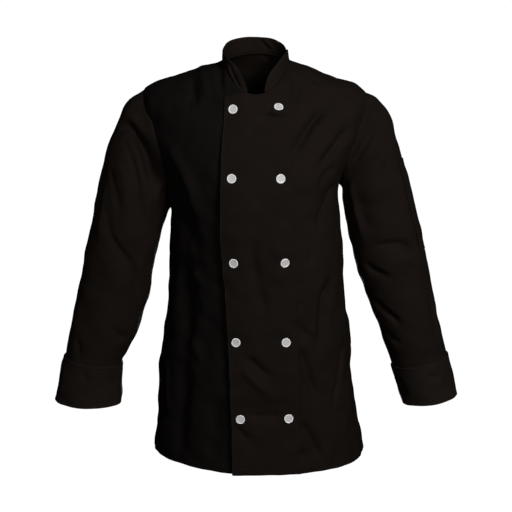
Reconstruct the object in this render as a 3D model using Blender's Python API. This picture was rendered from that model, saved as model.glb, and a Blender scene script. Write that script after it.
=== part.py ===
"""Chef jacket, double-breasted, filled out as it is worn, with nobody in it.

Units are metres, +Z is up and the front faces -Y, so the wearer's left is +X. The origin is the
middle of the neck opening, where the wearer's neck and shoulders hold the jacket.

Every cloth piece is a thin wall. Its outer face is worked out from rings through the garment
(LEVELS for the torso, the two SLEEVE tables for the arms), with the larger folds pushed in or
out along the face, and its inner face lies one wall further in.
"""
import math
from collections import namedtuple

import bmesh
import bpy
import numpy as np
from mathutils import Matrix, Vector

# ---------------------------------------------------------------- driving sizes
WALL = 0.002                # wall of every cloth panel
SEAM = 0.0003               # gap between two pieces where they are sewn
LAP_GAP = 0.0006            # the left front lies this far off the right front that it covers
LAP_LIFT = WALL + LAP_GAP
LAP_STEP = 0.006            # width over which it comes down again past the covered edge
LAP_FOOT = 0.007            # a column of points lies here, just past that step
COVERED_SHORT = 0.001       # the covered edge stops this far short of the step
COVERED_TUCK = 0.001        # the covered part of the right front lies this much further in
COVERED_RUN = 0.012         # width over which it gets there from the covering edge
COLLAR_END = 0.0155         # each collar end starts this far from the middle of the neck
COLLAR_HEIGHT = 0.033        # at the back and the sides
COLLAR_FRONT_HEIGHT = 0.022  # near its ends
COLLAR_SLOPE = (0.045, 0.090)   # distances from an end between which the height grows
COLLAR_CORNER = 0.020       # length over which a collar end rises in a round corner
COLLAR_TOE = 0.004          # height of the collar at its very end
COLLAR_SQUARE = 0.7         # 1 stands square to the neckline, 0 straight up
COLLAR_LEAN = math.radians(15)
COLLAR_LEAN_LEFT = math.radians(6)    # leans in more on the wearer's left, less on the right
ARMHOLE_FRONT = 0.050       # how far the armhole reaches forward of the side
ARMHOLE_BACK = 0.054
ARMHOLE_ROUND = 0.6         # below 1 the armhole is rounder than a lens
CUFF_GAP = 0.0005           # a turned-back cuff lies this far off its sleeve
CUFF_FLARE = 0.0012         # and its lower edge stands this much further out
SLEEVE_TUCK = 0.07          # the sleeve ends this part of a section short of the cuff edge
POCKET_WALL = 0.0016
POCKET_GAP = 0.0004         # the pocket lies this far off the sleeve
STUD_RADIUS = 0.0085
STUD_HEIGHT = 0.0021
STUD_GAP = 0.0006           # a stud's foot lies this far off the cloth
STUD_SIDES = 16

# ---------------------------------------------------------------- torso, a row for each ring
# The four quarter points of each ring: the sides (x and height), the front and the back (depth
# and height), and how square the ring is (2 is an ellipse).
Level = namedtuple("Level", "right_x right_z left_x left_z front_y front_z back_y back_z square")
LEVELS = (
    Level(0.1885, -0.705, 0.1975, -0.705, 0.147, -0.706, 0.140, -0.708, 2.45),   # hem
    Level(0.1810, -0.641, 0.1865, -0.641, 0.142, -0.640, 0.136, -0.641, 2.50),   # hip
    Level(0.1775, -0.560, 0.1725, -0.560, 0.137, -0.560, 0.130, -0.560, 2.45),
    Level(0.1695, -0.503, 0.1690, -0.503, 0.133, -0.503, 0.123, -0.503, 2.40),
    Level(0.1615, -0.436, 0.1615, -0.436, 0.130, -0.436, 0.115, -0.436, 2.40),   # waist
    Level(0.1555, -0.369, 0.1570, -0.369, 0.129, -0.369, 0.113, -0.369, 2.40),
    Level(0.1540, -0.320, 0.1530, -0.306, 0.130, -0.314, 0.117, -0.312, 2.40),
    Level(0.1530, -0.285, 0.1475, -0.255, 0.131, -0.270, 0.122, -0.265, 2.40),
    Level(0.1540, -0.256, 0.1458, -0.213, 0.130, -0.232, 0.125, -0.222, 2.40),   # armpits
    Level(0.1740, -0.196, 0.1650, -0.168, 0.126, -0.190, 0.125, -0.172, 2.30),
    Level(0.1950, -0.115, 0.1900, -0.108, 0.118, -0.150, 0.120, -0.118, 2.05),
    Level(0.1970, -0.048, 0.1930, -0.053, 0.108, -0.112, 0.109, -0.064, 1.85),   # shoulder tips
    Level(0.1370, -0.022, 0.1300, -0.024, 0.097, -0.080, 0.091, -0.019, 1.85),
    Level(0.0650, -0.008, 0.0625, -0.008, 0.084, -0.0515, 0.070, 0.013, 2.00),   # neckline
)
ARMPIT = 8
TIP = 11
NECK = 13
LAP_TOP = 10.4              # above this ring the overlaps are drawn together to their top edges

# Distance of each front's edge from the middle, from the hem up to the neck.
Edge = namedtuple("Edge", "z left_front right_front")
EDGES = (
    Edge(-0.706, -0.0383, 0.0766),
    Edge(-0.560, -0.0420, 0.0735),
    Edge(-0.432, -0.0463, 0.0690),
    Edge(-0.293, -0.0558, 0.0620),
    Edge(-0.158, -0.0571, 0.0555),
    Edge(-0.060, -0.0524, 0.0537),
    Edge(-0.008, -0.0524, 0.0537),
)
LEFT_TOP_DROP = 0.011       # the left front's top edge falls this far to its corner
RIGHT_TOP_DROP = 0.024      # the same on the covered edge of the right front

# ---------------------------------------------------------------- sleeves, a row for each section
# Each section is an ellipse from its outer point to its inner point, with a half depth in Y.
Section = namedtuple("Section", "outer_x outer_z inner_x inner_z half_depth middle_y")
RIGHT_SLEEVE = (
    Section(-0.2225, -0.0645, -0.1560, -0.264, 0.058, 0.002),
    Section(-0.2430, -0.101, -0.1580, -0.271, 0.062, 0.001),
    Section(-0.2675, -0.163, -0.1615, -0.283, 0.063, 0.000),
    Section(-0.2830, -0.237, -0.1682, -0.301, 0.062, -0.004),
    Section(-0.3005, -0.3125, -0.1778, -0.339, 0.060, -0.008),
    Section(-0.3163, -0.389, -0.1930, -0.413, 0.058, -0.012),    # elbow
    Section(-0.3318, -0.457, -0.2105, -0.474, 0.056, -0.018),
    Section(-0.3408, -0.501, -0.2320, -0.517, 0.053, -0.023),
    Section(-0.3450, -0.523, -0.2415, -0.538, 0.051, -0.026),    # cuff seam
    Section(-0.3610, -0.602, -0.2465, -0.607, 0.050, -0.036),    # cuff edge
)
LEFT_SLEEVE = (
    Section(0.2160, -0.068, 0.1520, -0.221, 0.056, 0.002),
    Section(0.2390, -0.099, 0.1540, -0.229, 0.060, 0.001),
    Section(0.2590, -0.170, 0.1554, -0.247, 0.062, 0.000),
    Section(0.2738, -0.222, 0.1582, -0.268, 0.062, -0.003),
    Section(0.2872, -0.274, 0.1654, -0.302, 0.061, -0.006),
    Section(0.3010, -0.328, 0.1793, -0.358, 0.059, -0.010),
    Section(0.3142, -0.388, 0.1995, -0.417, 0.057, -0.014),      # elbow
    Section(0.3278, -0.453, 0.2230, -0.476, 0.055, -0.020),
    Section(0.3440, -0.520, 0.2460, -0.541, 0.051, -0.026),      # cuff seam
    Section(0.3600, -0.590, 0.2660, -0.606, 0.050, -0.036),      # cuff edge
)
CUFF_SEAM = 9               # place of the cuff seam along a sleeve, counted from the armhole
CUFF_EDGE = 10
POCKET_TOP = 3              # the sleeve pocket runs between these places of the left sleeve
POCKET_FOOT = 6
POCKET_AROUND = 3           # and this many columns either way from the outer line

# ---------------------------------------------------------------- folds, a row for each
# A trough (height below 0) or ridge along a straight line in the front or back view.
Fold = namedtuple("Fold", "place x0 z0 x1 z1 half_width height")
FOLDS = (
    Fold("front", 0.062, -0.156, 0.119, -0.072, 0.012, -0.0040),
    Fold("front", 0.107, -0.176, 0.160, -0.110, 0.012, -0.0040),
    Fold("front", 0.000, -0.086, 0.056, -0.090, 0.010, -0.0030),
    Fold("front", 0.132, -0.353, 0.119, -0.396, 0.014, -0.0040),
    Fold("front", 0.119, -0.396, 0.114, -0.465, 0.014, -0.0040),
    Fold("front", 0.152, -0.468, 0.132, -0.588, 0.014, -0.0045),
    Fold("front", -0.020, -0.494, 0.010, -0.523, 0.012, -0.0025),
    Fold("front", 0.078, -0.505, 0.110, -0.570, 0.014, -0.0035),
    Fold("front", 0.088, -0.616, 0.113, -0.680, 0.016, -0.0040),
    Fold("front", -0.119, -0.070, -0.113, -0.125, 0.014, -0.0030),
    Fold("front", -0.096, -0.040, -0.072, -0.075, 0.012, -0.0035),
    Fold("front", -0.160, -0.160, -0.100, -0.285, 0.026, -0.0070),
    Fold("front", -0.132, -0.290, -0.126, -0.480, 0.020, -0.0050),
    Fold("front", -0.126, -0.480, -0.138, -0.700, 0.022, -0.0045),
    Fold("front", -0.113, -0.353, -0.087, -0.382, 0.014, 0.0030),
    Fold("front", -0.117, -0.465, -0.087, -0.516, 0.015, 0.0030),
    Fold("front", -0.075, -0.560, -0.070, -0.706, 0.020, -0.0030),
    Fold("back", -0.045, -0.110, -0.140, -0.185, 0.016, -0.0040),
    Fold("back", 0.045, -0.115, 0.135, -0.170, 0.016, -0.0040),
    Fold("back", -0.090, -0.215, -0.060, -0.330, 0.018, -0.0050),
    Fold("back", 0.095, -0.200, 0.070, -0.315, 0.018, -0.0045),
    Fold("back", -0.060, -0.400, -0.080, -0.709, 0.022, -0.0050),
    Fold("back", 0.030, -0.430, 0.045, -0.709, 0.020, -0.0045),
    Fold("back", 0.115, -0.480, 0.130, -0.709, 0.020, -0.0045),
    Fold("right_sleeve_front", -0.237, -0.113, -0.205, -0.127, 0.011, -0.0040),
    Fold("right_sleeve_front", -0.205, -0.127, -0.172, -0.215, 0.011, -0.0040),
    Fold("right_sleeve_front", -0.262, -0.150, -0.241, -0.268, 0.011, -0.0035),
    Fold("right_sleeve_front", -0.262, -0.277, -0.205, -0.375, 0.013, -0.0040),
    Fold("right_sleeve_front", -0.300, -0.455, -0.255, -0.470, 0.012, -0.0030),
    Fold("right_sleeve_front", -0.317, -0.483, -0.312, -0.520, 0.010, -0.0025),
    Fold("right_sleeve_back", -0.255, -0.150, -0.195, -0.235, 0.013, -0.0040),
    Fold("right_sleeve_back", -0.295, -0.375, -0.225, -0.400, 0.013, -0.0040),
    Fold("right_sleeve_back", -0.310, -0.440, -0.250, -0.445, 0.012, -0.0035),
    Fold("left_sleeve_front", 0.170, -0.185, 0.203, -0.120, 0.010, -0.0040),
    Fold("left_sleeve_front", 0.219, -0.225, 0.234, -0.174, 0.011, -0.0030),
    Fold("left_sleeve_front", 0.210, -0.318, 0.268, -0.318, 0.016, -0.0040),
    Fold("left_sleeve_front", 0.190, -0.352, 0.235, -0.380, 0.012, -0.0035),
    Fold("left_sleeve_front", 0.208, -0.417, 0.262, -0.459, 0.013, -0.0040),
    Fold("left_sleeve_front", 0.240, -0.490, 0.256, -0.520, 0.010, -0.0025),
    Fold("left_sleeve_back", 0.195, -0.215, 0.250, -0.145, 0.013, -0.0040),
    Fold("left_sleeve_back", 0.215, -0.385, 0.285, -0.360, 0.013, -0.0040),
    Fold("left_sleeve_back", 0.240, -0.440, 0.300, -0.430, 0.012, -0.0035),
)

# ---------------------------------------------------------------- studs, a row for each pair
StudRow = namedtuple("StudRow", "z right_x left_x")
STUDS = (
    StudRow(-0.0730, -0.0387, 0.0379),
    StudRow(-0.1896, -0.0395, 0.0411),
    StudRow(-0.3327, -0.0357, 0.0484),
    StudRow(-0.4722, -0.0327, 0.0516),
    StudRow(-0.6068, -0.0260, 0.0563),
)

# A stud's profile from its foot to its dished middle, as shares of its radius and height.
StudRing = namedtuple("StudRing", "radius height")
STUD_PROFILE = (
    StudRing(0.94, 0.00),
    StudRing(1.00, 0.55),
    StudRing(0.86, 1.00),       # crest of the rim
    StudRing(0.69, 0.65),
)

# ---------------------------------------------------------------- mesh density, in cells
ROWS_SKIRT = 13             # hem to armpits
ROWS_ARMHOLE = 12           # armpits to shoulder tips
ROWS_SHOULDER = 5           # shoulder tips to neckline
COLUMNS_EDGE = 3            # front edge to collar end
COLUMNS_NOTCH = 2           # collar end to collar end
COLUMNS_FRONT = 8           # overlap to the side
COLUMNS_BACK = 20
RINGS_PER_SECTION = 2
ROWS_COLLAR = 3
ROWS_CUFF = 3

# ---------------------------------------------------------------- finishes
BLACK_TWILL = (0.0075, 0.0060, 0.0055)
TWILL_ROUGHNESS = 0.85
GREY_STUD = (0.50, 0.50, 0.50)
STUD_ROUGHNESS = 0.35
SHARP_EDGE = math.radians(40)

# ---------------------------------------------------------------- numerical settings
BISECTIONS = 40
SLOPE_STEP = 1e-3           # step over which a surface's slope is measured
FOLD_BLEND = 4.0            # how sharply front folds give way to back folds at a side seam
SLEEVE_FOLD_BLEND = 2.0     # the same on a sleeve
SLEEVE_FOLD_START = 1.5     # a sleeve's folds reach full height this many places along it


# ---------------------------------------------------------------- small helpers
def smooth_rows(rows):
    """Make a function that runs through a table's rows on a smooth curve."""
    values = np.array(rows, dtype=float)
    slopes = np.gradient(values, axis=0)

    def at(place):
        place = np.asarray(place, dtype=float)
        low = np.clip(place.astype(int), 0, len(values) - 2)
        part = (place - low)[..., None]
        start_weight = (1 + 2 * part) * (1 - part) ** 2
        end_weight = part ** 2 * (3 - 2 * part)
        result = start_weight * values[low] + end_weight * values[low + 1]
        result = result + part * (1 - part) ** 2 * slopes[low]
        return result - part ** 2 * (1 - part) * slopes[low + 1]

    return at


def smooth_step(value):
    """0 below 0, 1 above 1, and a smooth rise between."""
    clipped = np.clip(value, 0.0, 1.0)
    return clipped * clipped * (3 - 2 * clipped)


def unit(vectors):
    """Vectors of length 1."""
    length = np.linalg.norm(vectors, axis=-1, keepdims=True)
    return vectors / np.maximum(length, 1e-12)


def fold_height(x, z, place):
    """Sum of the troughs and ridges of one place, each fading away from its own line."""
    total = np.zeros_like(x)
    for fold in FOLDS:
        if fold.place != place:
            continue
        run_x = fold.x1 - fold.x0
        run_z = fold.z1 - fold.z0
        along = ((x - fold.x0) * run_x + (z - fold.z0) * run_z) / (run_x ** 2 + run_z ** 2)
        along = np.clip(along, 0.0, 1.0)
        away = (x - fold.x0 - along * run_x) ** 2 + (z - fold.z0 - along * run_z) ** 2
        total += fold.height * np.exp(-away / fold.half_width ** 2)
    return total


# ---------------------------------------------------------------- torso surface
# theta goes round a ring: 0 is the wearer's left side, 90 degrees the front, 180 the right side.
level_at = smooth_rows(LEVELS)


def ring_at(level):
    """Row of LEVELS at a place between its rings."""
    return Level(*np.moveaxis(level_at(level), -1, 0))


def ring_point(theta, level):
    """Point of the plain torso, without folds."""
    ring = ring_at(level)
    across = np.cos(theta)
    ahead = np.sin(theta)
    half = np.where(across < 0, ring.right_x, ring.left_x)
    side_z = np.where(across < 0, ring.right_z, ring.left_z)
    depth = np.where(ahead > 0, ring.front_y, ring.back_y)
    middle_z = np.where(ahead > 0, ring.front_z, ring.back_z)
    power = 2.0 / ring.square
    x = np.sign(across) * half * np.abs(across) ** power
    y = -np.sign(ahead) * depth * np.abs(ahead) ** power
    z = side_z + (middle_z - side_z) * ahead ** 2
    return np.stack([x, y, z], axis=-1)


def face_normal(surface, theta, level):
    """Outward direction of a surface that is a function of theta and level."""
    low = np.maximum(level - SLOPE_STEP, 0.0)
    high = np.minimum(level + SLOPE_STEP, float(NECK))
    around = surface(theta + SLOPE_STEP, level) - surface(theta - SLOPE_STEP, level)
    upward = surface(theta, high) - surface(theta, low)
    return unit(np.cross(upward, around))


def torso_skin(theta, level):
    """Point of the torso's outer face with its folds."""
    theta, level = np.broadcast_arrays(np.asarray(theta, float), np.asarray(level, float))
    point = ring_point(theta, level)
    front = fold_height(point[..., 0], point[..., 2], "front")
    back = fold_height(point[..., 0], point[..., 2], "back")
    share = smooth_step(0.5 + FOLD_BLEND * np.sin(theta))
    height = share * front + (1 - share) * back
    return point + face_normal(ring_point, theta, level) * height[..., None]


def theta_at_x(x, level):
    """Angle on the front of a ring at which it has this x."""
    ring = ring_at(level)
    half = np.where(x < 0, ring.right_x, ring.left_x)
    share = np.clip(np.abs(x) / half, 0.0, 1.0)
    return np.arccos(np.sign(x) * share ** (ring.square / 2))


def theta_at_side(level, reach, depth_column):
    """Angle from the side at which a panel ends: the side seam, the armhole, the shoulder seam."""
    ring = ring_at(level)
    depth = getattr(ring, depth_column)
    share = np.clip((level - ARMPIT) / (TIP - ARMPIT), 0.0, 1.0)
    distance = np.maximum(reach * np.sin(np.pi * share) ** ARMHOLE_ROUND, SEAM / 2)
    return np.arcsin((distance / depth) ** (ring.square / 2))


def edge_x(z, column):
    """Distance of a front's edge from the middle at a height."""
    heights = [edge.z for edge in EDGES]
    places = [getattr(edge, column) for edge in EDGES]
    return np.interp(z, heights, places)


def level_at_height(x, z):
    """Ring that passes through height z on the front at this x."""
    low = 0.0
    high = float(NECK)
    for _ in range(BISECTIONS):
        middle = (low + high) / 2
        if ring_point(theta_at_x(np.float64(x), middle), middle)[2] < z:
            low = middle
        else:
            high = middle
    return (low + high) / 2


def cover_lift(x, z):
    """How far the left front stands off the body because the right front lies under it."""
    past = (x - edge_x(z, "right_front")) / LAP_STEP
    return LAP_LIFT * (1 - smooth_step(past))


def left_front_skin(theta, level):
    """Outer face of the left front."""
    point = torso_skin(theta, level)
    normal = face_normal(ring_point, theta, level)
    return point + normal * cover_lift(point[..., 0], point[..., 2])[..., None]


def right_front_skin(theta, level):
    """Outer face of the right front."""
    point = torso_skin(theta, level)
    normal = face_normal(ring_point, theta, level)
    under = smooth_step((point[..., 0] - edge_x(point[..., 2], "left_front")) / COVERED_RUN)
    return point - normal * COVERED_TUCK * under[..., None]


# ---------------------------------------------------------------- panel lattices
def panel_levels():
    """Ring of each row: even up to the armpit, then closer together at both armhole ends."""
    skirt = np.linspace(0, ARMPIT, ROWS_SKIRT + 1)
    turn = np.linspace(0, np.pi, ROWS_ARMHOLE + 1)
    armhole = ARMPIT + (TIP - ARMPIT) * (1 - np.cos(turn)) / 2
    shoulder = np.linspace(TIP, NECK, ROWS_SHOULDER + 1)
    return np.concatenate([skirt, armhole[1:], shoulder[1:]])


def front_lattice(on_left):
    """Angles and rings of a front's points, rows from the hem up, columns from its edge.

    Both fronts share the columns of the overlap, so the covering one lies clear of the other.
    """
    collar = COLLAR_END if on_left else -COLLAR_END
    drop = LEFT_TOP_DROP if on_left else RIGHT_TOP_DROP
    thetas = []
    rows = []
    for level in panel_levels():
        height = float(ring_at(level).front_z)
        side = float(theta_at_side(level, ARMHOLE_FRONT, "front_y"))
        covered = float(edge_x(height, "right_front"))
        free = float(edge_x(height, "left_front"))
        overlap = np.concatenate([
            np.linspace(free, -COLLAR_END, COLUMNS_EDGE, endpoint=False),
            np.linspace(-COLLAR_END, COLLAR_END, COLUMNS_NOTCH, endpoint=False),
            np.linspace(COLLAR_END, covered, COLUMNS_EDGE + 1),
        ])
        if on_left:
            places = np.append(overlap, covered + LAP_FOOT)
        else:
            overlap[-1] -= COVERED_SHORT
            places = overlap[::-1]
            side = np.pi - side
        row_levels = np.full(len(places), float(level))
        if level > LAP_TOP:
            share = (level - LAP_TOP) / (NECK - LAP_TOP)
            collar_z = ring_point(theta_at_x(np.float64(collar), NECK), NECK)[2]
            for index in range(COLUMNS_EDGE + COLUMNS_NOTCH):
                past = (abs(places[index]) - COLLAR_END) / (abs(places[0]) - COLLAR_END)
                beyond = places[index] * collar < 0
                top_z = collar_z - drop * max(past, 0.0) * beyond
                top = level_at_height(places[index], top_z)
                row_levels[index] = LAP_TOP + (top - LAP_TOP) * share
        near = theta_at_x(places, row_levels)
        far = np.linspace(near[-1], side, COLUMNS_FRONT + 1)[1:]
        thetas.append(np.concatenate([near, far]))
        rows.append(np.concatenate([row_levels, np.full(COLUMNS_FRONT, float(level))]))
    return np.array(thetas), np.array(rows)


def back_lattice():
    """Angles and rings of the back's points, columns from the wearer's left to the right."""
    levels = panel_levels()
    side = theta_at_side(levels, ARMHOLE_BACK, "back_y")
    share = np.linspace(0, 1, COLUMNS_BACK + 1)
    start = -side
    end = -np.pi + side
    thetas = start[:, None] + (end - start)[:, None] * share[None, :]
    return thetas, np.repeat(levels[:, None], COLUMNS_BACK + 1, axis=1)


def armhole_loop(on_left):
    """Points and outward directions round an armhole, from the shoulder tip down the front."""
    turn = np.linspace(0, np.pi, ROWS_ARMHOLE + 1)
    levels = ARMPIT + (TIP - ARMPIT) * (1 - np.cos(turn)) / 2
    front = theta_at_side(levels, ARMHOLE_FRONT, "front_y")
    back = theta_at_side(levels, ARMHOLE_BACK, "back_y")
    front[0] = front[-1] = 0.0
    theta = np.concatenate([front[::-1], -back[1:-1]])
    level = np.concatenate([levels[::-1], levels[1:-1]])
    if not on_left:
        theta = np.pi - theta
    return torso_skin(theta, level), face_normal(torso_skin, theta, level)


# ---------------------------------------------------------------- sleeve surface
def sleeve_rings(on_left):
    """Function from a place along the sleeve to its ring of points.

    The first ring lies one seam outside the armhole, and the rest follow the sleeve's table.
    """
    table = LEFT_SLEEVE if on_left else RIGHT_SLEEVE
    loop, loop_normal = armhole_loop(on_left)
    count = len(loop)
    half = count // 2
    length = np.linalg.norm(np.diff(np.vstack([loop, loop[:1]]), axis=0), axis=1)
    angle = np.zeros(count)
    angle[1:half + 1] = np.pi * np.cumsum(length[:half]) / length[:half].sum()
    angle[half + 1:] = np.pi + np.pi * np.cumsum(length[half:-1]) / length[half:].sum()
    rings = []
    for section in table:
        outer = np.array([section.outer_x, section.middle_y, section.outer_z])
        inner = np.array([section.inner_x, section.middle_y, section.inner_z])
        reach = (outer - inner) / 2
        depth = np.array([0.0, -section.half_depth, 0.0])
        ring = (outer + inner) / 2 + np.cos(angle)[:, None] * reach + np.sin(angle)[:, None] * depth
        rings.append(ring)
    tangent = unit(np.roll(loop, -1, axis=0) - np.roll(loop, 1, axis=0))
    leaving = rings[0] - loop
    leaving = unit(leaving - (leaving * tangent).sum(-1, keepdims=True) * tangent)
    panel_side = unit(np.cross(loop_normal, tangent))
    to_middle = ((loop.mean(axis=0) - loop) * panel_side).sum(-1, keepdims=True)
    panel_side = np.where(to_middle > 0, -panel_side, panel_side)
    start = loop + SEAM * unit(leaving - panel_side)
    at = smooth_rows(np.array([start] + rings).reshape(len(table) + 1, -1))
    return lambda place: at(place).reshape(count, 3)


def sleeve_lattice(on_left, places):
    """Outer face of a sleeve, a ring of points for each place, with its folds and directions."""
    rings = sleeve_rings(on_left)
    points = np.array([rings(place) for place in places])
    name = "left_sleeve" if on_left else "right_sleeve"
    plain = tube_normals(points, on_left)
    share = smooth_step(0.5 - SLEEVE_FOLD_BLEND * plain[..., 1])
    height = share * fold_height(points[..., 0], points[..., 2], name + "_front")
    height += (1 - share) * fold_height(points[..., 0], points[..., 2], name + "_back")
    height *= smooth_step(np.array(places) / SLEEVE_FOLD_START)[:, None]
    points = points + plain * height[..., None]
    return points, tube_normals(points, on_left)


def tube_normals(points, on_left):
    """Outward directions of a tube's points; its rows are rings."""
    around = np.roll(points, -1, axis=1) - np.roll(points, 1, axis=1)
    along = np.gradient(points, axis=0)
    normal = unit(np.cross(around, along))
    return normal if on_left else -normal


# ---------------------------------------------------------------- solids
def finish(mesh_bm, name, colour, roughness):
    """Turn a bmesh into a named object with its own material and smooth shading."""
    bmesh.ops.recalc_face_normals(mesh_bm, faces=mesh_bm.faces)
    mesh = bpy.data.meshes.new(name)
    mesh_bm.to_mesh(mesh)
    mesh_bm.free()
    mesh.shade_smooth()
    mesh.set_sharp_from_angle(angle=SHARP_EDGE)
    material = bpy.data.materials.new(name + "_finish")
    material.use_nodes = True
    shader = material.node_tree.nodes["Principled BSDF"]
    shader.inputs["Base Color"].default_value = (*colour, 1.0)
    shader.inputs["Roughness"].default_value = roughness
    shader.inputs["Metallic"].default_value = 0.0
    mesh.materials.append(material)
    piece = bpy.data.objects.new(name, mesh)
    bpy.context.scene.collection.objects.link(piece)
    return piece


def make_wall(name, outer, inner, closed=False, mirrored=False):
    """Solid between two lattices of points; a closed one joins its last column to its first.

    Every cell is split along the same diagonal (the other one in a mirrored lattice), so that
    walls which lie on each other have the same facets.
    """
    rows, columns = outer.shape[:2]
    wall_bm = bmesh.new()
    outside = [[wall_bm.verts.new(point) for point in row] for row in outer]
    inside = [[wall_bm.verts.new(point) for point in row] for row in inner]
    last = columns if closed else columns - 1
    for row in range(rows - 1):
        for column in range(last):
            beside = (column + 1) % columns
            for face, turned in ((outside, False), (inside, True)):
                corners = [face[row][column], face[row][beside],
                           face[row + 1][beside], face[row + 1][column]]
                if turned:
                    corners = [corners[0], corners[3], corners[2], corners[1]]
                if mirrored:
                    corners = corners[1:] + corners[:1]
                wall_bm.faces.new(corners[:3])
                wall_bm.faces.new([corners[0], corners[2], corners[3]])
    for row in (0, rows - 1):
        for column in range(last):
            beside = (column + 1) % columns
            wall_bm.faces.new([outside[row][column], outside[row][beside],
                               inside[row][beside], inside[row][column]])
    if not closed:
        for column in (0, columns - 1):
            for row in range(rows - 1):
                wall_bm.faces.new([outside[row][column], outside[row + 1][column],
                                   inside[row + 1][column], inside[row][column]])
    finish(wall_bm, name, BLACK_TWILL, TWILL_ROUGHNESS)


def make_front(on_left):
    """One front panel."""
    thetas, levels = front_lattice(on_left)
    skin = left_front_skin if on_left else right_front_skin
    outer = skin(thetas, levels)
    normal = face_normal(skin, thetas, levels)
    name = "left_front" if on_left else "right_front"
    make_wall(name, outer, outer - WALL * normal, mirrored=not on_left)


def make_back():
    """The back panel."""
    thetas, levels = back_lattice()
    outer = torso_skin(thetas, levels)
    normal = face_normal(torso_skin, thetas, levels)
    make_wall("back", outer, outer - WALL * normal)


def neckline():
    """Angles round the neck from the left collar end over the back to the right one."""
    left, _ = front_lattice(True)
    right, _ = front_lattice(False)
    back, back_levels = back_lattice()
    left_theta = left[-1][COLUMNS_EDGE + COLUMNS_NOTCH:-1]
    right_theta = right[-1][COLUMNS_EDGE + COLUMNS_NOTCH:-1]
    left_points = left_front_skin(left_theta, np.full(len(left_theta), float(NECK)))
    right_points = right_front_skin(right_theta[::-1], np.full(len(right_theta), float(NECK)))
    back_points = torso_skin(back[-1], back_levels[-1])
    theta = np.concatenate([left_theta, back[-1], right_theta[::-1] - 2 * np.pi])
    return theta, np.concatenate([left_points, back_points, right_points])


def make_collar():
    """The stand collar: a band that rises from the neckline, with round front corners."""
    theta, base = neckline()
    tangent = unit(np.gradient(base, axis=0))
    length = np.concatenate([[0.0], np.cumsum(np.linalg.norm(np.diff(base, axis=0), axis=1))])
    from_end = np.minimum(length, length[-1] - length)
    grown = smooth_step((from_end - COLLAR_SLOPE[0]) / (COLLAR_SLOPE[1] - COLLAR_SLOPE[0]))
    full = COLLAR_FRONT_HEIGHT + (COLLAR_HEIGHT - COLLAR_FRONT_HEIGHT) * grown
    corner = np.clip(from_end / COLLAR_CORNER, 0.0, 1.0)
    height = COLLAR_TOE + (full - COLLAR_TOE) * np.sqrt(1 - (1 - corner) ** 2)
    lean = COLLAR_LEAN + COLLAR_LEAN_LEFT * np.cos(theta)
    inward = unit(np.stack([-base[:, 0], -base[:, 1], np.zeros(len(base))], axis=-1))
    rise = np.cos(lean)[:, None] * np.array([0.0, 0.0, 1.0]) + np.sin(lean)[:, None] * inward
    rise = unit(rise - COLLAR_SQUARE * (rise * tangent).sum(-1, keepdims=True) * tangent)
    share = np.linspace(0, 1, ROWS_COLLAR + 1)
    lift = SEAM + share[:, None] * (height[None, :] - SEAM)
    outer = base[None] + rise[None] * lift[..., None]
    normal = unit(np.cross(np.gradient(outer, axis=1), np.gradient(outer, axis=0)))
    outward = (normal * -inward[None]).sum(-1, keepdims=True)
    normal = np.where(outward.mean() > 0, normal, -normal)
    make_wall("collar", outer, outer - WALL * normal)


def make_sleeve(on_left):
    """One sleeve, its turned-back cuff and, on the left, the pocket on the upper arm."""
    side = "left" if on_left else "right"
    count = RINGS_PER_SECTION * CUFF_EDGE
    places = np.linspace(0, CUFF_EDGE, count + 1)
    places[-1] = CUFF_EDGE - SLEEVE_TUCK
    outer, normal = sleeve_lattice(on_left, places)
    make_wall(side + "_sleeve", outer, outer - WALL * normal, closed=True)

    cuff_places = np.linspace(CUFF_SEAM, CUFF_EDGE, ROWS_CUFF + 1)
    cuff_base, cuff_normal = sleeve_lattice(on_left, cuff_places)
    lift = CUFF_GAP + np.linspace(0, CUFF_FLARE, len(cuff_places))[:, None, None]
    inside = cuff_base + lift * cuff_normal
    make_wall(side + "_cuff", inside + WALL * cuff_normal, inside, closed=True)

    if on_left:
        first = POCKET_TOP * RINGS_PER_SECTION
        last = POCKET_FOOT * RINGS_PER_SECTION + 1
        around = np.arange(-POCKET_AROUND, POCKET_AROUND + 1)
        pocket_base = outer[first:last, around]
        pocket_normal = normal[first:last, around]
        inside = pocket_base + POCKET_GAP * pocket_normal
        make_wall("sleeve_pocket", inside + POCKET_WALL * pocket_normal, inside)


def make_stud(name, x, z):
    """One press stud on the left front: a round cap with a raised rim and a dished middle."""
    level = level_at_height(x, z)
    theta = theta_at_x(np.float64(x), level)
    point = left_front_skin(theta, level)
    normal = face_normal(left_front_skin, theta, level)
    stud_bm = bmesh.new()
    rings = []
    for share in STUD_PROFILE:
        ring = []
        for side in range(STUD_SIDES):
            turn = 2 * math.pi * side / STUD_SIDES
            across = share.radius * STUD_RADIUS * math.cos(turn)
            upward = share.radius * STUD_RADIUS * math.sin(turn)
            ring.append(stud_bm.verts.new((across, upward, share.height * STUD_HEIGHT)))
        rings.append(ring)
    for lower, upper in zip(rings, rings[1:]):
        for side in range(STUD_SIDES):
            beside = (side + 1) % STUD_SIDES
            stud_bm.faces.new([lower[side], lower[beside], upper[beside], upper[side]])
    stud_bm.faces.new(rings[0][::-1])
    stud_bm.faces.new(rings[-1])
    stud = finish(stud_bm, name, GREY_STUD, STUD_ROUGHNESS)
    turned = Vector((0, 0, 1)).rotation_difference(Vector(normal))
    place = Vector(point + STUD_GAP * normal)
    stud.matrix_world = Matrix.Translation(place) @ turned.to_matrix().to_4x4()


def main():
    for old in list(bpy.data.objects):
        bpy.data.objects.remove(old)
    make_front(on_left=False)
    make_front(on_left=True)
    make_back()
    make_collar()
    make_sleeve(on_left=False)
    make_sleeve(on_left=True)
    for number, row in enumerate(STUDS, start=1):
        make_stud(f"stud_right_{number}", row.right_x, row.z)
        make_stud(f"stud_left_{number}", row.left_x, row.z)


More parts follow.
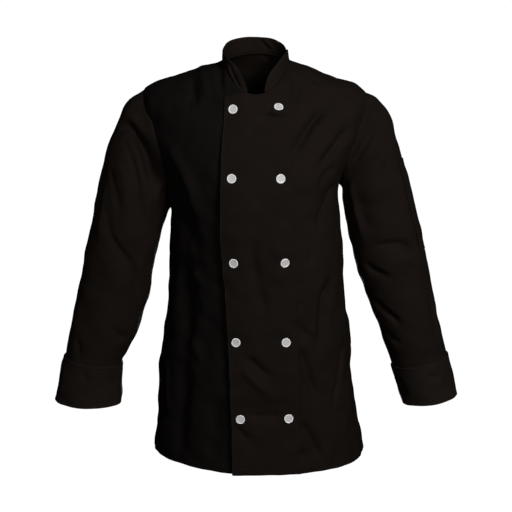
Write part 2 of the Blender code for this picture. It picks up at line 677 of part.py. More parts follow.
main()
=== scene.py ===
"""Chef jacket, double-breasted, filled out as it is worn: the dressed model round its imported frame.

Units are metres, +Z is up and the front faces -Y, so the wearer's left is +X. Fold tables are in
millimetres. Every cloth piece is a thin shell on the same rings and sections as its CAD solid,
with its creases, seams and hems put in at the size of the real cloth.
"""
import logging
import math
from collections import namedtuple
from dataclasses import dataclass, field
from enum import Enum
from typing import Callable, Iterable, Sequence

import bpy
import numpy as np
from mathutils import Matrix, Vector


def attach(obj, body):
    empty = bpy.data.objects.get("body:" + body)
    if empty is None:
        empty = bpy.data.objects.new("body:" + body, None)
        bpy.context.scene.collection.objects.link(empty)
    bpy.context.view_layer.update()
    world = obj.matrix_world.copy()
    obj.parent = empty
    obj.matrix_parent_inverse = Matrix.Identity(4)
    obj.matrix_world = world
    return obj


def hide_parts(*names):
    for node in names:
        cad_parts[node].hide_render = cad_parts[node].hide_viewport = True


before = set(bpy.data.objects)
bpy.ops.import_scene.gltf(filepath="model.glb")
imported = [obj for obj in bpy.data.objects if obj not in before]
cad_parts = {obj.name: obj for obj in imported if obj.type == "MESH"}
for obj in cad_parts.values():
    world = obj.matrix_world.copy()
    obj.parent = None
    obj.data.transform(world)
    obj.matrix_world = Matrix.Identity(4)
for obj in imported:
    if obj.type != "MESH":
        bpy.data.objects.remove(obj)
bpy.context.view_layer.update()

LOG = logging.getLogger("chef_jacket")
MM = 0.001
BODY = "root"  # cloth has no joints, so every piece rides on the one body
TWILL_SLOT = "black_twill"
STUD_SLOT = "grey_stud"


class Side(Enum):
    """The wearer's sides; the value is the sign of X there."""

    RIGHT = -1
    LEFT = 1


class Face(Enum):
    """Where a fold lies; the value is the sign of Y of the cloth's outward direction there."""

    FRONT = -1
    BACK = 1


class Shape(Enum):
    """Cross-section of a fold."""

    SOFT = "round trough or ridge"
    CREASE = "narrow groove between two low lips"
    DRAG = "steep on one side and long on the other"


class Layer(Enum):
    """Torso panels, which lie on each other where the fronts overlap."""

    BACK = "back"
    UNDER = "right_front"
    OVER = "left_front"


CREASE, DRAG = Shape.CREASE, Shape.DRAG  # short names for the rows of the fold tables


# ---------------------------------------------------------------- small helpers
def smooth_rows(rows: Sequence) -> Callable[[np.ndarray], np.ndarray]:
    """Make a function that runs through a table's rows on a smooth curve.

    Args:
        rows: The table, one row for each whole place.

    Returns:
        A function from places to interpolated rows.
    """
    values = np.array(rows, dtype=float)
    slopes = np.gradient(values, axis=0)

    def at(place: np.ndarray) -> np.ndarray:
        """Rows of a table at places between its own.

        Args:
            place: Row numbers, whole or between two rows.

        Returns:
            A row for each place.
        """
        place = np.asarray(place, dtype=float)
        low = np.clip(place.astype(int), 0, len(values) - 2)
        part = (place - low)[..., None]
        start_weight = (1 + 2 * part) * (1 - part) ** 2
        end_weight = part ** 2 * (3 - 2 * part)
        result = start_weight * values[low] + end_weight * values[low + 1]
        result = result + part * (1 - part) ** 2 * slopes[low]
        return result - part ** 2 * (1 - part) * slopes[low + 1]

    return at


def smooth_step(value: np.ndarray) -> np.ndarray:
    """0 below 0, 1 above 1, and a smooth rise between."""
    clipped = np.clip(value, 0.0, 1.0)
    return clipped * clipped * (3 - 2 * clipped)


def bell(distance: np.ndarray, width: float) -> np.ndarray:
    """1 at distance 0, a third of it one width away, and nearly nothing from two widths on."""
    return np.exp(-(distance / width) ** 2)


def fading(distance: np.ndarray, width: float) -> np.ndarray:
    """1 at distance 0, a third of it one width away, and less and less beyond."""
    return np.exp(-distance / width)


def unit(vectors: np.ndarray) -> np.ndarray:
    """Vectors of length 1."""
    length = np.linalg.norm(vectors, axis=-1, keepdims=True)
    return vectors / np.maximum(length, 1e-12)


def run_length(points: np.ndarray) -> np.ndarray:
    """Distance of each point from the first, along the line through them."""
    steps = np.linalg.norm(np.diff(points, axis=0), axis=-1)
    return np.concatenate([np.zeros_like(steps[:1]), np.cumsum(steps, axis=0)])


def run_across(lattice: np.ndarray) -> np.ndarray:
    """Distance of each point of a lattice from its row's first point, along the row."""
    return np.moveaxis(run_length(np.moveaxis(lattice, 1, 0)), 0, 1)


def resample(points: np.ndarray, spacing: float) -> np.ndarray:
    """Points at even spacing along the line through points.

    Args:
        points: Points of the line, one row each.
        spacing: Wanted distance between two points.

    Returns:
        The new points, with both ends kept.
    """
    length = run_length(points)
    wanted = np.linspace(0, length[-1], max(int(round(length[-1] / spacing)), 1) + 1)
    return np.stack([np.interp(wanted, length, column) for column in points.T], axis=-1)


def grid_normals(points: np.ndarray, closed: bool) -> np.ndarray:
    """Directions square to a lattice of points.

    Args:
        points: Lattice of points, rows by columns.
        closed: True if the last column joins the first.

    Returns:
        A unit vector for each point, all to the same side of the lattice.
    """
    if closed:
        across = np.roll(points, -1, axis=1) - np.roll(points, 1, axis=1)
    else:
        across = np.gradient(points, axis=1)
    return unit(np.cross(across, np.gradient(points, axis=0)))


def smooth_path(path: np.ndarray) -> np.ndarray:
    """Closely spaced points on the smooth curve through a path's few points.

    Args:
        path: The few points, one a row.

    Returns:
        The points, one a row.
    """
    if len(path) < 3:
        return path
    steps = 12  # for each stretch between two of the path's points
    return smooth_rows(path)(np.linspace(0, len(path) - 1, steps * (len(path) - 1) + 1))


def turn_points(sides: int) -> np.ndarray:
    """Cosine and sine of evenly spaced angles round a circle, one row each."""
    turn = np.arange(sides) * 2 * math.pi / sides
    return np.stack([np.cos(turn), np.sin(turn)], axis=-1)


def tube_faces(rings: int, sides: int, first: int = 0) -> list:
    """Corner numbers of a tube's faces.

    Args:
        rings: How many rings of points the tube has.
        sides: Points in a ring.
        first: Number of the first ring's first point.

    Returns:
        The faces, from the first ring to the last.
    """
    faces = []
    for ring in range(rings - 1):
        low = first + ring * sides
        high = low + sides
        for side in range(sides):
            beside = (side + 1) % sides
            faces.append([low + side, low + beside, high + beside, high + side])
    return faces


# ---------------------------------------------------------------- folds, seams and crumple
@dataclass(frozen=True)
class Fold:
    """One trough (height below 0) or ridge, pressed into the cloth along a line.

    The path is in millimetres in the front view, (x, z). The half width is how far from its
    middle the fold has mostly faded.
    """

    LIP_HEIGHT = 0.35  # a crease's lips, as a share of its depth
    LIP_REACH = 2.4  # how far the lips reach, in half widths
    STEEP_SIDE = 0.6  # the two sides of a dragged fold, in half widths
    LONG_SIDE = 1.4

    face: Face
    path: tuple
    half_width: float
    height: float
    shape: Shape = Shape.SOFT

    def profile(self, offset: np.ndarray) -> np.ndarray:
        """Share of the fold's full height beside its middle.

        Args:
            offset: Distances from the fold's middle, in half widths.

        Returns:
            Shares, 1 at the middle.
        """
        if self.shape is Shape.CREASE:
            return bell(offset, 1.0) - self.LIP_HEIGHT * bell(offset, self.LIP_REACH)
        if self.shape is Shape.DRAG:
            return bell(offset, np.where(offset < 0, self.STEEP_SIDE, self.LONG_SIDE))
        return bell(offset, 1.0)


def on_face(face: Face, rows: Iterable) -> tuple:
    """Folds on one face, from rows of a path, a half width, a height and perhaps a shape."""
    return tuple(Fold(face, *row) for row in rows)


class Line:
    """A line through space that folds and seams are measured from."""

    SHORTEST = 1e-9  # a stretch shorter than this is left out

    def __init__(self, points: np.ndarray) -> None:
        """Keep the line's points and how far along each one is."""
        self.points = points
        self.along = run_length(points)

    def near(self, at: np.ndarray, normal: np.ndarray) -> tuple:
        """Distances from the line.

        Args:
            at: Points, one row each.
            normal: Outward direction of the cloth at each point.

        Returns:
            Distance, signed by the side of the line, and the place along the line.
        """
        best = np.full(len(at), np.inf)
        signed = np.zeros(len(at))
        place = np.zeros(len(at))
        for index in range(len(self.points) - 1):
            start = self.points[index]
            run = self.points[index + 1] - start
            length = np.linalg.norm(run)
            if length < self.SHORTEST:
                continue
            away = at - start
            share = np.clip(away @ run / length ** 2, 0.0, 1.0)
            away = away - share[:, None] * run
            distance = np.linalg.norm(away, axis=1)
            closer = distance < best
            best[closer] = distance[closer]
            side = np.cross(run / length, normal[closer])
            signed[closer] = np.where((away[closer] * side).sum(1) < 0, -1, 1) * distance[closer]
            place[closer] = self.along[index] + share[closer] * length
        return signed, place


@dataclass
class Crumple:
    """Low, uneven swells of worn cloth: many faint waves at random directions, added up."""

    seed: int
    shortest: float = 22 * MM
    longest: float = 75 * MM
    height: float = 0.8 * MM
    waves: int = 26

    def __post_init__(self) -> None:
        """Draw each wave's heading, length and phase from the seed."""
        draw = np.random.default_rng(self.seed)
        heading = unit(draw.normal(size=(self.waves, 3)))
        length = np.exp(draw.uniform(math.log(self.shortest), math.log(self.longest), self.waves))
        self.pull = heading * (2 * math.pi / length)[:, None]
        self.phase = draw.uniform(0, 2 * math.pi, self.waves)
        self.share = length / length.mean() / math.sqrt(self.waves / 2)

    def at(self, points: np.ndarray) -> np.ndarray:
        """Height of the swells at each point."""
        return self.height * (np.sin(points @ self.pull.T + self.phase) @ self.share)


class Drapery:
    """All that is pressed into one piece's smooth form: folds, seam grooves, dimples, crumple."""

    TAPER = 0.3  # share of a fold's length over which each end fades
    END_HEIGHT = 0.15  # share of its height that a fold keeps at its very end
    HEIGHT_SWING = 0.16  # how unevenly high and wide a fold is along its length
    WIDTH_SWING = 0.14
    SHIFT_SWING = 3.0  # radians by which that unevenness is shifted from fold to fold
    REACH = 3.2  # a fold is worked out this many half widths away
    FACING = -0.25  # a fold may lie on cloth that is turned this far from its face
    PATH_STEP = 5 * MM
    SEAM_DEPTH = 0.9 * MM
    SEAM_HALF_WIDTH = 2.2 * MM
    SEAM_REACH = 4.0  # a seam is worked out this many half widths away
    SEAM_STEP = 6 * MM
    PUCKER = 0.28 * MM  # a seam's thread draws the cloth in unevenly
    PUCKER_LENGTH = 13 * MM
    PUCKER_REACH = 2.2  # in half widths of the seam
    PUCKER_BEAT = 0.37  # a second, longer wave makes the puckers uneven
    DRAW_SEED = 100

    def __init__(self, folds: Iterable, form: np.ndarray, normal: np.ndarray, seed: int) -> None:
        """Lay the folds' lines on a smooth form.

        Args:
            folds: The folds of this piece.
            form: Lattice of points of the smooth form.
            normal: Outward directions of the same points.
            seed: Seed of the crumple and of the folds' unevenness.
        """
        self.crumple = Crumple(seed)
        self.draw = np.random.default_rng(seed + self.DRAW_SEED)
        self.folds = []
        self.seams = []
        self.dimples = []
        flat_form = form.reshape(-1, 3)
        flat_normal = normal.reshape(-1, 3)
        for fold in folds:
            facing = flat_form[flat_normal[:, 1] * fold.face.value > self.FACING]
            path = resample(smooth_path(np.array(fold.path, dtype=float) * MM), self.PATH_STEP)
            gap = np.linalg.norm(path[:, None] - facing[None][:, :, [0, 2]], axis=2)
            line = facing[gap.argmin(axis=1)]
            line[:, 0], line[:, 2] = path[:, 0], path[:, 1]
            line[1:-1, 1] = (line[:-2, 1] + line[1:-1, 1] + line[2:, 1]) / 3
            wobble = self.draw.uniform(-1, 1, 4)
            self.folds.append((fold, Line(line), wobble))

    def add_seam(self, points: np.ndarray, depth: float = 1.0) -> None:
        """Press a seam's groove along a line; depth is its share of the usual one."""
        self.seams.append((Line(resample(points, self.SEAM_STEP)), depth, self.draw.uniform(0, 6)))

    def add_dimple(self, centre: np.ndarray, radius: float, height: float) -> None:
        """Press a round dimple round a point."""
        self.dimples.append((centre, radius, height))

    def height(self, points: np.ndarray, normal: np.ndarray) -> np.ndarray:
        """How far the cloth stands out from the smooth form.

        Args:
            points: Points of the smooth form, in an array of any shape.
            normal: Outward directions of the same points.

        Returns:
            The height at each point.
        """
        flat = points.reshape(-1, 3)
        out = normal.reshape(-1, 3)
        total = self.crumple.at(flat)
        for fold, line, wobble in self.folds:
            here = self.within(flat, line, self.REACH * fold.half_width * MM)
            if len(here):
                offset, place = line.near(flat[here], out[here])
                total[here] += self.fold_height(fold, wobble, offset, place, line.along[-1])
        for line, depth, phase in self.seams:
            here = self.within(flat, line, self.SEAM_REACH * self.SEAM_HALF_WIDTH)
            if len(here):
                offset, place = line.near(flat[here], out[here])
                total[here] += depth * self.seam_height(phase, offset, place)
        for centre, radius, height in self.dimples:
            total += height * bell(np.linalg.norm(flat - centre, axis=1), radius)
        return total.reshape(points.shape[:-1])

    def fold_height(self, fold: Fold, wobble: np.ndarray, offset: np.ndarray, place: np.ndarray,
                    length: float) -> np.ndarray:
        """Height of one fold.

        Args:
            fold: The fold.
            wobble: Its own unevenness, four numbers from -1 to 1.
            offset: Distance of each point from the fold's middle line.
            place: How far along that line each point is.
            length: Length of the line.

        Returns:
            The height at each point.
        """
        from_end = np.minimum(place, length - place) / (self.TAPER * length)
        share = self.END_HEIGHT + (1 - self.END_HEIGHT) * smooth_step(from_end)
        turn = 2 * math.pi * place / length
        share *= 1 + self.HEIGHT_SWING * wobble[0] * np.sin(turn + self.SHIFT_SWING * wobble[1])
        wider = 1 + self.WIDTH_SWING * wobble[2] * np.cos(turn + self.SHIFT_SWING * wobble[3])
        return fold.height * MM * share * fold.profile(offset / (fold.half_width * MM * wider))

    def seam_height(self, phase: float, offset: np.ndarray, place: np.ndarray) -> np.ndarray:
        """Height of a seam's groove and puckers, for the usual depth.

        Args:
            phase: Where its puckers start, in radians.
            offset: Distance of each point from the seam.
            place: How far along the seam each point is.

        Returns:
            The height at each point.
        """
        turn = 2 * math.pi * place / self.PUCKER_LENGTH + phase
        pucker = np.sin(turn) * np.sin(self.PUCKER_BEAT * turn + phase) * self.PUCKER
        beside = bell(offset, self.PUCKER_REACH * self.SEAM_HALF_WIDTH)
        return pucker * beside - self.SEAM_DEPTH * bell(offset, self.SEAM_HALF_WIDTH)

    @staticmethod
    def within(points: np.ndarray, line: Line, reach: float) -> np.ndarray:
        """Find the points that lie in a line's box.

        Args:
            points: The points.
            line: The line.
            reach: How far the box is grown.

        Returns:
            Their numbers.
        """
        low = line.points.min(axis=0) - reach
        high = line.points.max(axis=0) + reach
        return np.flatnonzero(((points > low) & (points < high)).all(axis=1))


# ---------------------------------------------------------------- shells
def make_mesh(name: str, vertices: np.ndarray, faces: list, uvs: np.ndarray = None) -> bpy.types.Object:
    """Make a smooth-shaded object with its weave coordinates.

    Args:
        name: Name of the piece.
        vertices: Points, one row each.
        faces: Corner numbers of each face.
        uvs: Weave coordinates in metres, a row for each corner of each face in turn, or None
            where nothing is woven.

    Returns:
        The new object, in the scene, with its faces turned outward.
    """
    sizes = [len(face) for face in faces]
    if uvs is None:
        uvs = np.zeros((sum(sizes), 2))
    corners = np.array([face[:3] for face in faces])
    first, second, third = (vertices[corners[:, index]] for index in range(3))
    if (np.cross(first, second) * third).sum() < 0:
        faces = [face[::-1] for face in faces]
        turned = [np.arange(end - 1, end - size - 1, -1) for end, size in zip(np.cumsum(sizes), sizes)]
        uvs = uvs[np.concatenate(turned)]
    mesh = bpy.data.meshes.new(name)
    mesh.from_pydata(vertices.tolist(), [], faces)
    layer = mesh.uv_layers.new(name="weave")
    layer.data.foreach_set("uv", uvs.astype(np.float32).ravel())
    mesh.shade_smooth()
    mesh.update()
    piece = bpy.data.objects.new(name, mesh)
    bpy.context.scene.collection.objects.link(piece)
    return piece


@dataclass
class Shell:
    """A thin cloth shell between an outer and an inner lattice of points, rows by columns.

    rims says how far each rim (first row, last row, first column, last column) is rounded out:
    1 on a free edge, 0 where the edge meets another piece in a seam. A closed shell's last
    column joins its first.
    """

    BULGE = 0.42  # how far a full rim stands out, as a share of the cloth's thickness

    outer: np.ndarray
    inner: np.ndarray
    rims: tuple = (1.0, 1.0, 0.0, 0.0)
    closed: bool = False
    wear: np.ndarray = None

    def rim(self, outer: np.ndarray, inner: np.ndarray, beside: np.ndarray, share: float) -> np.ndarray:
        """Points half way over a rim.

        Args:
            outer: The outer face's edge.
            inner: The inner face's edge.
            beside: The outer face's points next to its edge.
            share: How far the rim is rounded out.

        Returns:
            The points.
        """
        thick = np.linalg.norm(outer - inner, axis=-1, keepdims=True)
        return (outer + inner) / 2 + self.BULGE * share * thick * unit(outer - beside)

    def build(self, name: str) -> bpy.types.Object:
        """Make the shell's mesh.

        Args:
            name: Name of the piece.

        Returns:
            The new object.
        """
        columns = self.outer.shape[1]
        first_rim = self.rim(self.outer[0], self.inner[0], self.outer[1], self.rims[0])
        last_rim = self.rim(self.outer[-1], self.inner[-1], self.outer[-2], self.rims[1])
        ring = np.concatenate([self.outer, last_rim[None], self.inner[::-1], first_rim[None]])
        number = np.arange(len(ring) * columns).reshape(len(ring), columns)
        across = self.outer[:, (np.arange(columns + 1)) % columns] if self.closed else self.outer
        u = run_across(across)
        u = u - u[:, [u.shape[1] // 2]]
        v = run_length(self.outer)
        v = np.concatenate([v, v[:, :1]], axis=1) if self.closed else v
        uv = np.stack([u, v], axis=-1)
        uv = np.concatenate([uv, uv[-1:], uv[::-1], uv[:1]])
        if self.closed:
            number = np.concatenate([number, number[:, :1]], axis=1)
        below, above = number, np.roll(number, -1, axis=0)
        uv_above = np.roll(uv, -1, axis=0)
        quads = np.stack([below[:, :-1], below[:, 1:], above[:, 1:], above[:, :-1]], axis=-1)
        quad_uvs = np.stack([uv[:, :-1], uv[:, 1:], uv_above[:, 1:], uv_above[:, :-1]], axis=2)
        faces = quads.reshape(-1, 4).tolist()
        uvs = quad_uvs.reshape(-1, 2)
        vertices = ring.reshape(-1, 3)
        if not self.closed:
            vertices, faces, uvs = self.close_ends(vertices, faces, uvs, number, uv)
        piece = make_mesh(name, vertices, faces, uvs)
        self.mark_wear(piece, len(vertices))
        return piece

    def close_ends(self, vertices: np.ndarray, faces: list, uvs: np.ndarray,
                   number: np.ndarray, uv: np.ndarray) -> tuple:
        """Close the first and last column with a rim of two strips each.

        Args:
            vertices: Points so far.
            faces: Faces so far.
            uvs: Weave coordinates so far.
            number: Numbers of the ring's points, outer rows, end rim, inner rows, start rim.
            uv: Weave coordinates of the same points.

        Returns:
            The vertices, faces and weave coordinates with the rims added.
        """
        rows = len(self.outer)
        more_uvs = []
        for column, beside, share in ((0, 1, self.rims[2]), (-1, -2, self.rims[3])):
            middle = self.rim(self.outer[:, column], self.inner[:, column], self.outer[:, beside], share)
            first = len(vertices)
            vertices = np.concatenate([vertices, middle])
            outside = number[:rows, column]
            inside = number[rows + 1:2 * rows + 1, column][::-1]
            end_rim, start_rim = number[rows, column], number[-1, column]
            strips = []
            for row in range(rows - 1):
                here, there = first + row, first + row + 1
                strips.append([outside[row], here, there, outside[row + 1]])
                strips.append([here, inside[row], inside[row + 1], there])
            strips.append([outside[0], start_rim, first])
            strips.append([first, start_rim, inside[0]])
            strips.append([outside[-1], first + rows - 1, end_rim])
            strips.append([first + rows - 1, inside[-1], end_rim])
            for strip in strips:
                strip = [int(corner) for corner in strip]
                faces.append(strip if column == 0 else strip[::-1])
                more_uvs.extend([uv[0, column]] * len(strip))
        return vertices, faces, np.concatenate([uvs, np.array(more_uvs)])

    def mark_wear(self, piece: bpy.types.Object, count: int) -> None:
        """Store how far the cloth is rubbed pale along its edges, 0 to 1, for the twill's colour.

        Args:
            piece: The shell's piece.
            count: How many points it has.
        """
        values = np.zeros(count, dtype=np.float32)
        if self.wear is not None:
            ring = np.concatenate([self.wear, self.wear[-1:], self.wear[::-1], self.wear[:1]])
            values[:ring.size] = ring.ravel()
        layer = piece.data.attributes.new("wear", "FLOAT", "POINT")
        layer.data.foreach_set("value", values)


@dataclass
class Stitching:
    """Rows of real stitches: short rounded lengths of thread, half sunk in the cloth.

    The profile has places along a stitch, as shares of its length from its middle, and how thick
    the thread is there, as a share of its radius.
    """

    length: float = 2.5 * MM
    pitch: float = 3.2 * MM
    radius: float = 0.30 * MM
    sides: int = 6
    profile: tuple = ((-0.46, 0.62), (-0.34, 0.95), (0.0, 1.06), (0.34, 0.95), (0.46, 0.62))
    rise: float = 0.12  # of the thread's middle above the cloth, in radii
    dip: float = 0.3  # of the stitch's two ends below that, in radii
    runs: list = field(default_factory=list)

    def add(self, points: np.ndarray, normal: np.ndarray) -> None:
        """Add a row of stitches along a line on the cloth.

        Args:
            points: Points of the line.
            normal: Outward direction of the cloth at each.
        """
        joined = np.concatenate([points, normal], axis=1)
        length = run_length(points)
        count = int(length[-1] / self.pitch)
        if count < 2:
            return
        middles = (np.arange(count) + 0.5) * length[-1] / count
        ends = []
        for shift in (-self.length / 2, 0, self.length / 2):
            values = [np.interp(middles + shift, length, column) for column in joined.T]
            ends.append(np.stack(values, axis=-1))
        self.runs.append(ends)

    def build(self, name: str) -> bpy.types.Object:
        """Make one mesh of all the stitches added so far.

        Args:
            name: Name of the piece.

        Returns:
            The new object.
        """
        start, middle, end = (np.concatenate([run[index] for run in self.runs]) for index in range(3))
        ahead = unit(end[:, None, :3] - start[:, None, :3])
        up = unit(middle[:, None, 3:])
        aside = unit(np.cross(ahead, up))
        turn = turn_points(self.sides)
        around = turn[:, :1] * aside + turn[:, 1:] * up
        centre = middle[:, None, :3] + self.rise * self.radius * up
        tips = [centre + side * self.length * ahead - self.dip * self.radius * up for side in (-0.5, 0.5)]
        rings = [centre + place * self.length * ahead + share * self.radius * around
                 for place, share in self.profile]
        block = np.concatenate([tips[0]] + rings + [tips[1]], axis=1)
        count = block.shape[1]
        template = tube_faces(len(rings), self.sides, first=1)
        for side in range(self.sides):
            beside = (side + 1) % self.sides
            last_ring = count - 1 - self.sides
            template.append([0, 1 + beside, 1 + side])
            template.append([last_ring + side, last_ring + beside, count - 1])
        faces = [[corner + count * stitch for corner in face]
                 for stitch in range(len(block)) for face in template]
        return make_mesh(name, block.reshape(-1, 3), faces)


# ---------------------------------------------------------------- torso
Level = namedtuple("Level", "right_x right_z left_x left_z front_y front_z back_y back_z square slope")
Edge = namedtuple("Edge", "z left_front right_front")
StudRow = namedtuple("StudRow", "right_z right_x left_z left_x")


@dataclass
class TorsoForm:
    """The body of the jacket: rings from the hem up to the neck, and the panels' edges on them.

    theta goes round a ring: 0 is the wearer's left side, 90 degrees the front, 180 the right
    side. level goes up the rings. Each ring has its four quarter points, how square it is (2 is
    an ellipse), and by how much less square the wearer's front right quarter is.
    """

    levels: tuple = (
        Level(0.1885, -0.705, 0.1975, -0.705, 0.147, -0.706, 0.140, -0.708, 2.45, 0.65),  # hem
        Level(0.1810, -0.641, 0.1865, -0.641, 0.142, -0.640, 0.136, -0.641, 2.50, 0.65),  # hip
        Level(0.1775, -0.560, 0.1725, -0.560, 0.137, -0.560, 0.130, -0.560, 2.45, 0.65),
        Level(0.1695, -0.503, 0.1690, -0.503, 0.133, -0.503, 0.123, -0.503, 2.40, 0.65),
        Level(0.1615, -0.436, 0.1615, -0.436, 0.130, -0.436, 0.115, -0.436, 2.40, 0.65),  # waist
        Level(0.1555, -0.369, 0.1570, -0.369, 0.129, -0.369, 0.113, -0.369, 2.40, 0.65),
        Level(0.1540, -0.320, 0.1530, -0.306, 0.130, -0.314, 0.117, -0.312, 2.40, 0.62),
        Level(0.1530, -0.285, 0.1475, -0.255, 0.131, -0.270, 0.122, -0.265, 2.40, 0.60),
        Level(0.1540, -0.256, 0.1458, -0.213, 0.130, -0.232, 0.125, -0.222, 2.40, 0.55),  # armpits
        Level(0.1740, -0.196, 0.1650, -0.168, 0.126, -0.190, 0.125, -0.172, 2.30, 0.45),
        Level(0.1950, -0.115, 0.1900, -0.108, 0.118, -0.150, 0.120, -0.118, 2.05, 0.25),
        Level(0.1970, -0.048, 0.1930, -0.053, 0.108, -0.112, 0.109, -0.064, 1.85, 0.05),  # tips
        Level(0.1340, -0.022, 0.1280, -0.024, 0.097, -0.080, 0.091, -0.019, 1.85, 0.00),
        Level(0.0590, 0.001, 0.0580, 0.002, 0.084, -0.0515, 0.070, 0.013, 2.40, 0.00),  # neck
    )
    armpit: int = 8
    tip: int = 11
    neck: int = 13
    edges: tuple = (
        Edge(-0.706, -0.0383, 0.0766),
        Edge(-0.560, -0.0420, 0.0735),
        Edge(-0.432, -0.0463, 0.0690),
        Edge(-0.293, -0.0558, 0.0620),
        Edge(-0.158, -0.0571, 0.0555),
        Edge(-0.060, -0.0524, 0.0537),
        Edge(-0.008, -0.0524, 0.0537),
    )
    seam: float = 0.3 * MM
    lap_lift: float = 3.4 * MM  # the left front stands this far off, over the right one
    lap_step: float = 6 * MM
    lap_bow: float = 12 * MM  # and bows out further towards its edge, by the slope
    lap_bow_end: float = 18 * MM
    lap_bow_run: float = 75 * MM
    covered_tuck: float = 1 * MM
    covered_run: float = 12 * MM
    collar_end: float = 15.5 * MM
    armhole_front: float = 50 * MM
    armhole_back: float = 54 * MM
    armhole_round: float = 0.6
    slope_step: float = 1e-3
    bisections: int = 34
    near_step: float = 4 * MM  # a stud leans as the cloth does this far round it
    ring_rise: float = 0.06  # height of one ring beside a stud, about

    def __post_init__(self) -> None:
        """Make the curve through the rings; the torso lays its folds on them later."""
        self.level_at = smooth_rows(self.levels)
        self.drapery = None

    def ring_at(self, level: np.ndarray) -> Level:
        """Row of the rings' table at a place between its rings."""
        return Level(*np.moveaxis(self.level_at(level), -1, 0))

    def square_at(self, ring: Level, across: np.ndarray, ahead: np.ndarray) -> np.ndarray:
        """How square a ring is in the quarter that these directions point to."""
        return ring.square - np.where((across < 0) & (ahead > 0), ring.slope, 0.0)

    def ring_point(self, theta: np.ndarray, level: np.ndarray) -> np.ndarray:
        """Points of the plain torso, without folds.

        Args:
            theta: Angles round the ring.
            level: Ring numbers, whole or between two rings.

        Returns:
            The points.
        """
        ring = self.ring_at(level)
        across = np.cos(theta)
        ahead = np.sin(theta)
        half = np.where(across < 0, ring.right_x, ring.left_x)
        side_z = np.where(across < 0, ring.right_z, ring.left_z)
        depth = np.where(ahead > 0, ring.front_y, ring.back_y)
        middle_z = np.where(ahead > 0, ring.front_z, ring.back_z)
        power = 2.0 / self.square_at(ring, across, ahead)
        x = np.sign(across) * half * np.abs(across) ** power
        y = -np.sign(ahead) * depth * np.abs(ahead) ** power
        z = side_z + (middle_z - side_z) * ahead ** 2
        return np.stack([x, y, z], axis=-1)

    def direction(self, theta: np.ndarray, level: np.ndarray) -> np.ndarray:
        """Outward directions of the plain torso.

        Args:
            theta: Angles round the ring.
            level: Ring numbers, whole or between two rings.

        Returns:
            Unit vectors.
        """
        step = self.slope_step
        low = np.maximum(level - step, 0.0)
        high = np.minimum(level + step, float(self.neck))
        around = self.ring_point(theta + step, level) - self.ring_point(theta - step, level)
        upward = self.ring_point(theta, high) - self.ring_point(theta, low)
        return unit(np.cross(upward, around))

    def skin(self, theta: np.ndarray, level: np.ndarray, layer: Layer = Layer.BACK) -> np.ndarray:
        """Point of a panel's outer face with its folds.

        Args:
            theta: Angles round the rings.
            level: Places up the rings.
            layer: The panel; the left front lies over the right one.

        Returns:
            The points.
        """
        theta, level = np.broadcast_arrays(np.asarray(theta, float), np.asarray(level, float))
        point = self.ring_point(theta, level)
        normal = self.direction(theta, level)
        height = self.drapery.height(point, normal)
        if layer is Layer.OVER:
            past = (point[..., 0] - self.edge_x(point[..., 2], "right_front")) / self.lap_step
            height = height + self.lap_lift * (1 - smooth_step(past))
            toward_edge = smooth_step((self.lap_bow_end - point[..., 0]) / self.lap_bow_run)
            height = height + self.lap_bow * self.ring_at(level).slope * toward_edge
        if layer is Layer.UNDER:
            under = point[..., 0] - self.edge_x(point[..., 2], "left_front")
            height = height - self.covered_tuck * smooth_step(under / self.covered_run)
        return point + normal * height[..., None]

    def theta_at_x(self, x: np.ndarray, level: np.ndarray) -> np.ndarray:
        """Angles on the front at which a ring has these places across.

        Args:
            x: Places across.
            level: Ring numbers, whole or between two rings.

        Returns:
            The angles.
        """
        ring = self.ring_at(level)
        half = np.where(x < 0, ring.right_x, ring.left_x)
        share = np.clip(np.abs(x) / half, 0.0, 1.0)
        return np.arccos(np.sign(x) * share ** (self.square_at(ring, x, np.ones_like(x)) / 2))

    def theta_at_side(self, level: np.ndarray, side: Side, face: Face) -> np.ndarray:
        """Angle at which a panel ends: the side seam, the armhole, the shoulder seam.

        Args:
            level: Places up the rings.
            side: The wearer's side.
            face: The front or the back panel.

        Returns:
            The angles, round the rings.
        """
        ring = self.ring_at(level)
        front = face is Face.FRONT
        depth = ring.front_y if front else ring.back_y
        reach = self.armhole_front if front else self.armhole_back
        share = np.clip((level - self.armpit) / (self.tip - self.armpit), 0.0, 1.0)
        distance = np.maximum(reach * np.sin(np.pi * share) ** self.armhole_round, self.seam / 2)
        toward = np.full_like(depth, side.value)
        ahead = np.full_like(depth, 1.0 if front else -1.0)
        turn = np.arcsin((distance / depth) ** (self.square_at(ring, toward, ahead) / 2))
        turn = turn if front else -turn
        return turn if side is Side.LEFT else np.pi - turn

    def edge_x(self, z: np.ndarray, column: str) -> np.ndarray:
        """Distance of a front's edge from the middle at a height."""
        heights = [edge.z for edge in self.edges]
        return np.interp(z, heights, [getattr(edge, column) for edge in self.edges])

    def level_at_height(self, x: np.ndarray, z: np.ndarray) -> np.ndarray:
        """Rings that pass through these heights on the front.

        Args:
            x: Places across.
            z: Heights.

        Returns:
            Ring numbers, mostly between two rings.
        """
        low = np.zeros_like(x)
        high = np.full_like(x, float(self.neck))
        for _ in range(self.bisections):
            middle = (low + high) / 2
            below = self.ring_point(self.theta_at_x(x, middle), middle)[..., 2] < z
            low = np.where(below, middle, low)
            high = np.where(below, high, middle)
        return (low + high) / 2

